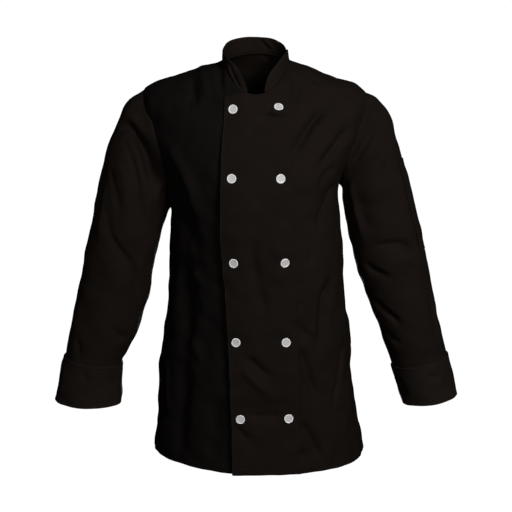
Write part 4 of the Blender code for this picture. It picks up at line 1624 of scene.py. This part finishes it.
RIGHT_SECTIONS = (
    Section(-0.2225, -0.0645, -0.1560, -0.264, 0.058, 0.002),
    Section(-0.2430, -0.101, -0.1580, -0.271, 0.062, 0.001),
    Section(-0.2675, -0.163, -0.1615, -0.283, 0.063, 0.000),
    Section(-0.2830, -0.237, -0.1682, -0.301, 0.062, -0.004),
    Section(-0.3005, -0.3125, -0.1778, -0.339, 0.060, -0.008),
    Section(-0.3163, -0.389, -0.1930, -0.413, 0.058, -0.012),  # elbow
    Section(-0.3318, -0.457, -0.2105, -0.474, 0.056, -0.018),
    Section(-0.3408, -0.501, -0.2320, -0.517, 0.053, -0.023),
    Section(-0.3450, -0.523, -0.2415, -0.538, 0.051, -0.026),  # cuff seam
    Section(-0.3610, -0.602, -0.2465, -0.607, 0.050, -0.036),  # cuff edge
)
LEFT_SECTIONS = (
    Section(0.2160, -0.068, 0.1520, -0.221, 0.056, 0.002),
    Section(0.2390, -0.099, 0.1540, -0.229, 0.060, 0.001),
    Section(0.2590, -0.170, 0.1554, -0.247, 0.062, 0.000),
    Section(0.2738, -0.222, 0.1582, -0.268, 0.062, -0.003),
    Section(0.2872, -0.274, 0.1654, -0.302, 0.061, -0.006),
    Section(0.3010, -0.328, 0.1793, -0.358, 0.059, -0.010),
    Section(0.3142, -0.388, 0.1995, -0.417, 0.057, -0.014),  # elbow
    Section(0.3278, -0.453, 0.2230, -0.476, 0.055, -0.020),
    Section(0.3440, -0.520, 0.2460, -0.541, 0.051, -0.026),  # cuff seam
    Section(0.3600, -0.590, 0.2660, -0.606, 0.050, -0.036),  # cuff edge
)
CAP_TROUGH = (  # from the armpit up and over the top of the arm
    (-160, -219), (-175, -196), (-182, -170), (-190, -149),
    (-202, -128), (-217, -113), (-232, -109), (-250, -121),
)
RIGHT_FOLDS = on_face(Face.FRONT, (
    (((-193, -45), (-191, -62), (-187, -84)), 4, -8.0),
    (CAP_TROUGH, 8.5, -18.0),
    (CAP_TROUGH, 21, -11.0),
    (((-223, -73), (-203, -92), (-186, -121)), 11, -5.0),
    (((-227, -125), (-211, -142), (-197, -166), (-189, -194)), 5, 3.0),
    (((-228, -135), (-221, -151), (-213, -173), (-205, -205), (-202, -236), (-195, -268),
      (-187, -289)), 4.6, -5.0),
    (((-253, -177), (-248, -205), (-240, -236), (-237, -261)), 5, -4.6),
    (((-240, -159), (-229, -194), (-224, -229), (-223, -261)), 6, 3.6),
    (((-260, -258), (-255, -293), (-240, -320), (-225, -339), (-216, -357), (-212, -377),
      (-209, -415)), 6, -6.5),
    (((-181, -245), (-167, -219), (-156, -203)), 6, 4.0),
    (((-317, -481), (-312, -522)), 4, -4.0),
    (((-264, -201), (-269, -263), (-277, -325)), 7, 3.0),
    (((-228, -488), (-245, -474), (-256, -455)), 7, -4.0),
    (((-307, -536), (-297, -566)), 7, -3.0),
)) + on_face(Face.BACK, (
    (((-258, -148), (-228, -196), (-192, -238)), 11, -4.0),
    (((-270, -240), (-240, -268), (-200, -290)), 9, -3.0, DRAG),
    (((-298, -368), (-262, -388), (-222, -398)), 10, -4.0),
    (((-304, -402), (-272, -424), (-236, -428)), 8, -3.0, DRAG),
    (((-318, -446), (-286, -456), (-250, -450)), 9, -3.5),
    (((-330, -500), (-300, -508)), 7, -1.8),
))
LEFT_FOLDS = on_face(Face.FRONT, (
    (((154, -182), (163, -163), (176, -139), (190, -125)), 3.4, -5.1, CREASE),
    (((163, -175), (180, -156), (193, -135), (201, -118), (212, -104)), 3.8, -6.3, CREASE),
    (((165, -198), (171, -236), (180, -275), (191, -307)), 7, 5.4),
    (((228, -170), (220, -186), (215, -208)), 4.5, -3.9),
    (((182, -219), (186, -258), (198, -300)), 16, -3.4),
    (((203, -318), (231, -313), (256, -314), (272, -327), (283, -341)), 7, -7.5),
    (((225, -347), (256, -339), (281, -347)), 8, 3.3),
    (((190, -347), (204, -359), (225, -368), (243, -372)), 6, -6.6),
    (((207, -413), (223, -430), (241, -444), (259, -459)), 6.5, -7.5),
    (((228, -474), (242, -485), (260, -492)), 6, -3.6),
    (((305, -393), (315, -441), (322, -492)), 7, -3.9),
    (((304, -546), (326, -551)), 6, -3.0),
    (((256, -559), (268, -589)), 7, -4.5),
)) + on_face(Face.BACK, (
    (((192, -218), (222, -186), (252, -142)), 11, -4.0),
    (((196, -262), (232, -250), (268, -222)), 9, -3.0, DRAG),
    (((212, -388), (250, -374), (288, -358)), 10, -4.0),
    (((222, -420), (262, -408), (300, -396)), 8, -3.0, DRAG),
    (((238, -446), (270, -438), (304, -430)), 9, -3.5),
    (((262, -498), (300, -492)), 7, -1.8),
))


# ---------------------------------------------------------------- press studs
@dataclass
class PressStuds:
    """Two columns of round press studs, each with a raised rim round a shallow dish."""

    form: TorsoForm
    rows: tuple = (
        StudRow(-0.0762, -0.0387, -0.0730, 0.0379),
        StudRow(-0.1896, -0.0395, -0.1896, 0.0411),
        StudRow(-0.3327, -0.0357, -0.3327, 0.0484),
        StudRow(-0.4716, -0.0327, -0.4728, 0.0516),
        StudRow(-0.6068, -0.0260, -0.6068, 0.0563),
    )
    radius: float = 7.9 * MM
    height: float = 2.1 * MM
    gap: float = 0.3 * MM
    sides: int = 56
    dimple: float = -1.5 * MM
    dimple_radius: float = 13 * MM
    rim: tuple = (  # profile as shares of radius and height, from the foot to the dish
        (0.90, 0.00), (0.965, 0.08), (0.995, 0.26), (1.00, 0.48), (0.985, 0.70), (0.955, 0.87),
        (0.915, 0.97), (0.870, 1.00), (0.825, 0.975), (0.79, 0.90), (0.77, 0.80),
    )
    dish: tuple = ((0.755, 0.70), (0.72, 0.655), (0.60, 0.635), (0.42, 0.62), (0.22, 0.61))
    dish_middle: float = 0.605

    def places(self) -> list:
        """List the studs.

        Returns:
            CAD node, place across and height of each.
        """
        found = []
        for number, row in enumerate(self.rows, start=1):
            found.append((f"stud_right_{number}", row.right_x, row.right_z))
            found.append((f"stud_left_{number}", row.left_x, row.left_z))
        return found

    def press_in(self) -> None:
        """Let each stud draw the cloth in a little round itself."""
        for _, x, z in self.places():
            level = self.form.level_at_height(np.array([x]), np.array([z]))
            centre = self.form.ring_point(self.form.theta_at_x(np.array([x]), level), level)[0]
            self.form.drapery.add_dimple(centre, self.dimple_radius, self.dimple)

    def build(self, rim: bpy.types.Material, dish: bpy.types.Material) -> None:
        """Make the ten studs.

        Args:
            rim: Finish of the raised rim.
            dish: Finish of the dished face.
        """
        for node, x, z in self.places():
            self.make_one(node, x, z, (rim, dish))

    def make_one(self, node: str, x: float, z: float, finishes: tuple) -> None:
        """Turn one stud and press it onto the left front.

        Args:
            node: CAD node that it stands for.
            x: Place across.
            z: Height.
            finishes: Finish of the rim and of the dish.
        """
        point, normal = self.form.on_left_front(x, z)
        circle = turn_points(self.sides) * self.radius
        profile = self.rim + self.dish
        rings = [np.column_stack([share * circle, np.full(self.sides, height * self.height)])
                 for share, height in profile]
        ends = [[0, 0, self.dish_middle * self.height], [0, 0, 0]]
        vertices = np.concatenate(rings + [ends])
        faces = tube_faces(len(rings), self.sides)
        bands = [0] * (len(self.rim) - 1) + [1] * len(self.dish)
        kinds = np.repeat(bands, self.sides).tolist()
        last = len(rings) * self.sides
        top = last - self.sides
        for side in range(self.sides):
            beside = (side + 1) % self.sides
            faces.append([top + side, top + beside, last])
            faces.append([beside, side, last + 1])
            kinds.extend([1, 0])
        turned = Vector((0, 0, 1)).rotation_difference(Vector(normal)).to_matrix()
        vertices = (np.array(turned) @ vertices.T).T + point + self.gap * normal
        stud = make_mesh(node + "_cap", vertices, faces)
        for finish in finishes:
            stud.data.materials.append(finish)
        stud.data.polygons.foreach_set("material_index", kinds)
        dress(stud, finishes[0], STUD_SLOT, node)


# ---------------------------------------------------------------- finishes
def linear(code: str) -> tuple:
    """Linear colour, with alpha 1, of an sRGB hex value."""
    shares = [int(code[index:index + 2], 16) / 255 for index in (1, 3, 5)]
    return tuple(s / 12.92 if s <= 0.04045 else ((s + 0.055) / 1.055) ** 2.4 for s in shares) + (1.0,)


def add_node(tree: bpy.types.NodeTree, kind: str, links: dict, **settings) -> bpy.types.Node:
    """Add one node with its settings, socket values and links.

    Args:
        tree: The material's node tree.
        kind: Blender's name for the node.
        links: For each socket by name or number, the value to set or the socket to link from.
        settings: The node's own properties.

    Returns:
        The new node.
    """
    node = tree.nodes.new(kind)
    for name, value in settings.items():
        setattr(node, name, value)
    for socket, value in links.items():
        if isinstance(value, bpy.types.NodeSocket):
            tree.links.new(value, node.inputs[socket])
        else:
            node.inputs[socket].default_value = value
    return node


BAND_LENGTH = 0.314  # metres from band to band of a wave texture at scale 1


class Finish:
    """A finish whose node tree ends in one shader, which its shade method adds."""

    name: str

    def material(self) -> bpy.types.Material:
        """Make the material and its node tree.

        Returns:
            The material.
        """
        material = bpy.data.materials.new(self.name)
        material.use_nodes = True
        tree = material.node_tree
        tree.nodes.clear()
        add_node(tree, "ShaderNodeOutputMaterial", {"Surface": self.shade(tree).outputs[0]})
        return material


@dataclass(frozen=True)
class PolyCottonTwill(Finish):
    """Black poly-cotton twill, woven and piece-dyed.

    The dye leaves hardly any light, so the eye gets a soft, matt near-black, a faint slant of
    wales close up, and a slightly rubbed, paler line along turned edges.
    """

    name: str = "woven poly-cotton twill"
    black: str = "#140f0b"
    faded: str = "#19130f"
    rubbed: str = "#211c19"
    roughness: float = 0.88
    specular: float = 0.06  # open, fuzzy yarn has little of a smooth surface's gloss
    wale: float = 1.5 * MM  # really about 0.5 mm; drawn coarser so that it shows
    wale_slant: float = math.radians(57)
    slub: float = 2.4 * MM  # length of thick and thin stretches of yarn
    dye_patch: float = 60 * MM
    tones: tuple = (0.45, 1.05)  # from the blackest to the most faded yarn
    uneven: float = 0.05  # of the roughness, from thin to thick yarn
    relief: float = 0.22 * MM

    def shade(self, tree: bpy.types.NodeTree) -> bpy.types.Node:
        """Slant ribs of thick and thin yarn, dyed unevenly and rubbed at the edges.

        Args:
            tree: The material's node tree.

        Returns:
            The shader.
        """
        weave = add_node(tree, "ShaderNodeUVMap", {}, uv_map="weave").outputs[0]
        turned = add_node(tree, "ShaderNodeMapping", {
            "Vector": weave, "Rotation": (0, 0, self.wale_slant)}).outputs[0]
        wave = add_node(tree, "ShaderNodeTexWave", {
            "Vector": turned, "Scale": BAND_LENGTH / self.wale, "Distortion": 0.9,
            "Detail": 1.0, "Detail Scale": 1.2}, bands_direction="X").outputs["Fac"]
        slub = add_node(tree, "ShaderNodeTexNoise", {
            "Vector": weave, "Scale": 1 / self.slub, "Detail": 3.0, "Roughness": 0.6}).outputs["Fac"]
        place = add_node(tree, "ShaderNodeTexCoord", {}).outputs["Object"]
        patch = add_node(tree, "ShaderNodeTexNoise", {
            "Vector": place, "Scale": 1 / self.dye_patch, "Detail": 2.0}).outputs["Fac"]
        yarn = add_node(tree, "ShaderNodeMath", {0: wave, 1: slub}, operation="MULTIPLY").outputs[0]
        tone = add_node(tree, "ShaderNodeMath", {0: yarn, 1: patch}, operation="ADD").outputs[0]
        spread = add_node(tree, "ShaderNodeMapRange", {
            0: tone, 1: self.tones[0], 2: self.tones[1], 3: 0.0, 4: 1.0}).outputs[0]
        cloth = add_node(tree, "ShaderNodeMix", {
            0: spread, 6: linear(self.black), 7: linear(self.faded)}, data_type="RGBA").outputs[2]
        wear = add_node(tree, "ShaderNodeAttribute", {}, attribute_name="wear").outputs["Fac"]
        rub = add_node(tree, "ShaderNodeMath", {0: wear, 1: slub}, operation="MULTIPLY",
                       use_clamp=True).outputs[0]
        colour = add_node(tree, "ShaderNodeMix", {
            0: rub, 6: cloth, 7: linear(self.rubbed)}, data_type="RGBA").outputs[2]
        rough = add_node(tree, "ShaderNodeMapRange", {
            0: slub, 1: 0.3, 2: 0.7,
            3: self.roughness - self.uneven, 4: self.roughness + self.uneven}).outputs[0]
        bump = add_node(tree, "ShaderNodeBump", {
            "Height": yarn, "Strength": 0.45, "Distance": self.relief}).outputs[0]
        return add_node(tree, "ShaderNodeBsdfPrincipled", {
            "Base Color": colour, "Roughness": rough, "Normal": bump,
            "Specular IOR Level": self.specular, "IOR": 1.5, "Metallic": 0.0})


@dataclass(frozen=True)
class SewingThread(Finish):
    """Black core-spun polyester thread: smoother than the cloth, so each stitch has a faint glint."""

    name: str = "core-spun polyester thread"
    dark: str = "#120f0e"
    light: str = "#1a1614"
    roughness: float = 0.6
    specular: float = 0.15
    ply: float = 0.8 * MM  # one turn of the twisted plies
    relief: float = 0.1 * MM

    def shade(self, tree: bpy.types.NodeTree) -> bpy.types.Node:
        """Twist two tones of black into plies.

        Args:
            tree: The material's node tree.

        Returns:
            The shader.
        """
        place = add_node(tree, "ShaderNodeTexCoord", {}).outputs["Object"]
        ply = add_node(tree, "ShaderNodeTexWave", {
            "Vector": place, "Scale": BAND_LENGTH / self.ply, "Distortion": 2.0},
            bands_direction="DIAGONAL").outputs["Fac"]
        colour = add_node(tree, "ShaderNodeMix", {
            0: ply, 6: linear(self.dark), 7: linear(self.light)}, data_type="RGBA").outputs[2]
        bump = add_node(tree, "ShaderNodeBump", {
            "Height": ply, "Strength": 0.3, "Distance": self.relief}).outputs[0]
        return add_node(tree, "ShaderNodeBsdfPrincipled", {
            "Base Color": colour, "Normal": bump, "Roughness": self.roughness,
            "Specular IOR Level": self.specular, "IOR": 1.5, "Metallic": 0.0})


@dataclass(frozen=True)
class MouldedStud(Finish):
    """Moulded acetal press stud: an even pale grey with the soft shine of a polished mould."""

    name: str
    pale: str
    grey: str
    roughness: float
    cloudiness: float = 5 * MM
    polish: float = 0.5 * MM  # faint marks that the mould leaves
    uneven: float = 0.05
    relief: float = 0.05 * MM
    bend: float = 1.48  # acetal's index of refraction

    def shade(self, tree: bpy.types.NodeTree) -> bpy.types.Node:
        """Cloud the grey a little and leave the mould's faint marks.

        Args:
            tree: The material's node tree.

        Returns:
            The shader.
        """
        place = add_node(tree, "ShaderNodeTexCoord", {}).outputs["Object"]
        cloud = add_node(tree, "ShaderNodeTexNoise", {
            "Vector": place, "Scale": 1 / self.cloudiness, "Detail": 2.0}).outputs["Fac"]
        marks = add_node(tree, "ShaderNodeTexNoise", {
            "Vector": place, "Scale": 1 / self.polish, "Detail": 2.0}).outputs["Fac"]
        colour = add_node(tree, "ShaderNodeMix", {
            0: cloud, 6: linear(self.grey), 7: linear(self.pale)}, data_type="RGBA").outputs[2]
        rough = add_node(tree, "ShaderNodeMapRange", {
            0: marks, 1: 0.3, 2: 0.7,
            3: self.roughness - self.uneven, 4: self.roughness + self.uneven}).outputs[0]
        bump = add_node(tree, "ShaderNodeBump", {
            "Height": marks, "Strength": 0.12, "Distance": self.relief}).outputs[0]
        return add_node(tree, "ShaderNodeBsdfPrincipled", {
            "Base Color": colour, "Roughness": rough, "Normal": bump,
            "Specular IOR Level": 0.5, "IOR": self.bend, "Metallic": 0.0})


@dataclass(frozen=True)
class StudioPaper(Finish):
    """Seamless white background paper, lit from behind so that it reads as plain white."""

    name: str = "seamless background paper"
    white: str = "#fcfcfc"
    whitest: str = "#ffffff"
    glow: float = 1.05
    fibre: float = 40 * MM

    def shade(self, tree: bpy.types.NodeTree) -> bpy.types.Node:
        """Let the paper glow, with a hint of fibre.

        Args:
            tree: The material's node tree.

        Returns:
            The shader.
        """
        place = add_node(tree, "ShaderNodeTexCoord", {}).outputs["Object"]
        fibre = add_node(tree, "ShaderNodeTexNoise", {
            "Vector": place, "Scale": 1 / self.fibre, "Detail": 2.0}).outputs["Fac"]
        colour = add_node(tree, "ShaderNodeMix", {
            0: fibre, 6: linear(self.white), 7: linear(self.whitest)}, data_type="RGBA").outputs[2]
        return add_node(tree, "ShaderNodeEmission", {"Color": colour, "Strength": self.glow})


# ---------------------------------------------------------------- studio
@dataclass(frozen=True)
class SoftBox:
    """A large square lamp that looks at the jacket, placed by its direction and distance."""

    azimuth: float  # degrees, 0 at the camera's side, above 0 towards +X
    elevation: float
    distance: float
    size: float
    power: float


@dataclass
class Studio:
    """Pale floor and backdrop, soft lamps and the camera."""

    target: tuple = (0.0, 0.0, -0.347)
    camera_distance: float = 2.3
    camera_elevation: float = math.radians(11.5)
    lens: float = 89.84
    sensor: float = 36.0
    floor_height: float = -1.25
    floor_size: float = 60.0
    backdrop_radius: float = 28.0
    backdrop_sides: int = 48
    backdrop_rings: int = 13
    backdrop_foot: float = -0.3  # the wall starts this far below eye level, in radians
    farthest: float = 200.0
    ambient: float = 0.01
    lamps: tuple = (
        SoftBox(azimuth=30, elevation=31, distance=2.2, size=0.6, power=39),
        SoftBox(azimuth=-14, elevation=10, distance=2.5, size=0.6, power=11),
        SoftBox(azimuth=-90, elevation=8, distance=2.5, size=0.6, power=2.5),
        SoftBox(azimuth=180, elevation=-12, distance=2.5, size=1.0, power=48),
    )

    def build(self) -> None:
        """Set up the floor, the backdrop, the lamps and the camera."""
        paper = StudioPaper().material()
        half = self.floor_size / 2
        around = ((-half, -half), (half, -half), (half, half), (-half, half))
        corners = [(x, y, self.floor_height) for x, y in around]
        self.set_stage("studio_floor", corners, [[0, 1, 2, 3]], paper)
        self.set_stage("studio_backdrop", *self.backdrop(), paper)
        world = bpy.data.worlds.new("studio_air")
        world.use_nodes = True
        background = world.node_tree.nodes["Background"]
        background.inputs["Color"].default_value = (1, 1, 1, 1)
        background.inputs["Strength"].default_value = self.ambient
        bpy.context.scene.world = world
        for number, lamp in enumerate(self.lamps, start=1):
            self.hang(lamp, f"softbox_{number}")
        self.build_camera()

    def build_camera(self) -> None:
        """Stand the camera in front of the jacket, a little above it."""
        data = bpy.data.cameras.new("camera")
        data.lens = self.lens
        data.sensor_width = self.sensor
        data.clip_end = self.farthest
        camera = bpy.data.objects.new("camera", data)
        bpy.context.scene.collection.objects.link(camera)
        back = self.camera_distance * math.cos(self.camera_elevation)
        up = self.camera_distance * math.sin(self.camera_elevation)
        camera.location = Vector(self.target) + Vector((0, -back, up))
        camera.rotation_euler = (math.pi / 2 - self.camera_elevation, 0, 0)
        bpy.context.scene.camera = camera
        bpy.context.scene.view_settings.view_transform = "Standard"

    def backdrop(self) -> tuple:
        """Shape a wide round wall and ceiling, far behind everything.

        Returns:
            Its points and its faces.
        """
        circle = turn_points(self.backdrop_sides)
        points = []
        for rise in np.linspace(self.backdrop_foot, math.pi / 2, self.backdrop_rings):
            height = np.full(len(circle), math.sin(rise))
            points.append(self.backdrop_radius * np.column_stack([math.cos(rise) * circle, height]))
        return np.concatenate(points).tolist(), tube_faces(len(points), self.backdrop_sides)

    def set_stage(self, name: str, points: list, faces: list, paper: bpy.types.Material) -> None:
        """Hang paper in the studio; it shows, but throws no light on the jacket.

        Args:
            name: Name of the piece.
            points: Its points.
            faces: Corner numbers of its faces.
            paper: Its finish.
        """
        mesh = bpy.data.meshes.new(name)
        mesh.from_pydata(points, [], faces)
        mesh.materials.append(paper)
        piece = bpy.data.objects.new(name, mesh)
        bpy.context.scene.collection.objects.link(piece)
        piece.visible_diffuse = False
        piece.visible_glossy = False
        piece.visible_shadow = False

    def hang(self, lamp: SoftBox, name: str) -> None:
        """Hang one lamp so that it looks at the middle of the jacket.

        Args:
            lamp: The lamp.
            name: Its name.
        """
        azimuth, elevation = math.radians(lamp.azimuth), math.radians(lamp.elevation)
        toward = Vector((math.sin(azimuth) * math.cos(elevation),
                         -math.cos(azimuth) * math.cos(elevation), math.sin(elevation)))
        light = bpy.data.lights.new(name, "AREA")
        light.energy = lamp.power
        light.size = lamp.size
        holder = bpy.data.objects.new(name, light)
        bpy.context.scene.collection.objects.link(holder)
        holder.location = Vector(self.target) + lamp.distance * toward
        holder.rotation_euler = toward.to_track_quat("Z", "Y").to_euler()


def main() -> None:
    """Build the jacket piece by piece, then the studio, logging each jacket piece's triangle count."""
    logging.basicConfig(level=logging.INFO, format="%(message)s")
    twill = PolyCottonTwill().material()
    shaded_twill = PolyCottonTwill("woven poly-cotton twill, cut the other way up", "#0d0a09", "#110d0c")
    shaded_twill = shaded_twill.material()
    wrong_side = PolyCottonTwill("woven poly-cotton twill, wrong side out", "#17120f", "#1c1613").material()
    thread = SewingThread().material()
    rim = MouldedStud("moulded press stud rim", "#f2f0ef", "#e8e6e5", 0.32).material()
    dish = MouldedStud("moulded press stud face", "#c5c3c3", "#bab8b9", 0.38).material()
    torso = Torso()
    studs = PressStuds(torso.form)
    studs.press_in()
    torso.build(twill, shaded_twill, thread)
    Collar(torso.form).build(twill, thread)
    right = Sleeve(torso.form, Side.RIGHT, RIGHT_SECTIONS, RIGHT_FOLDS, cut=(0.400, 0.545), seed=11)
    right.build(twill)
    Cuff(right, cut=(0.335, 0.082)).build(wrong_side, thread)
    left = Sleeve(torso.form, Side.LEFT, LEFT_SECTIONS, LEFT_FOLDS, cut=(0.385, 0.560), seed=17)
    left.build(twill)
    Cuff(left, cut=(0.325, 0.075)).build(wrong_side, thread)
    SleevePocket(left).build(twill, thread)
    studs.build(rim, dish)
    Studio().build()


if __name__ == "__main__":
    main()
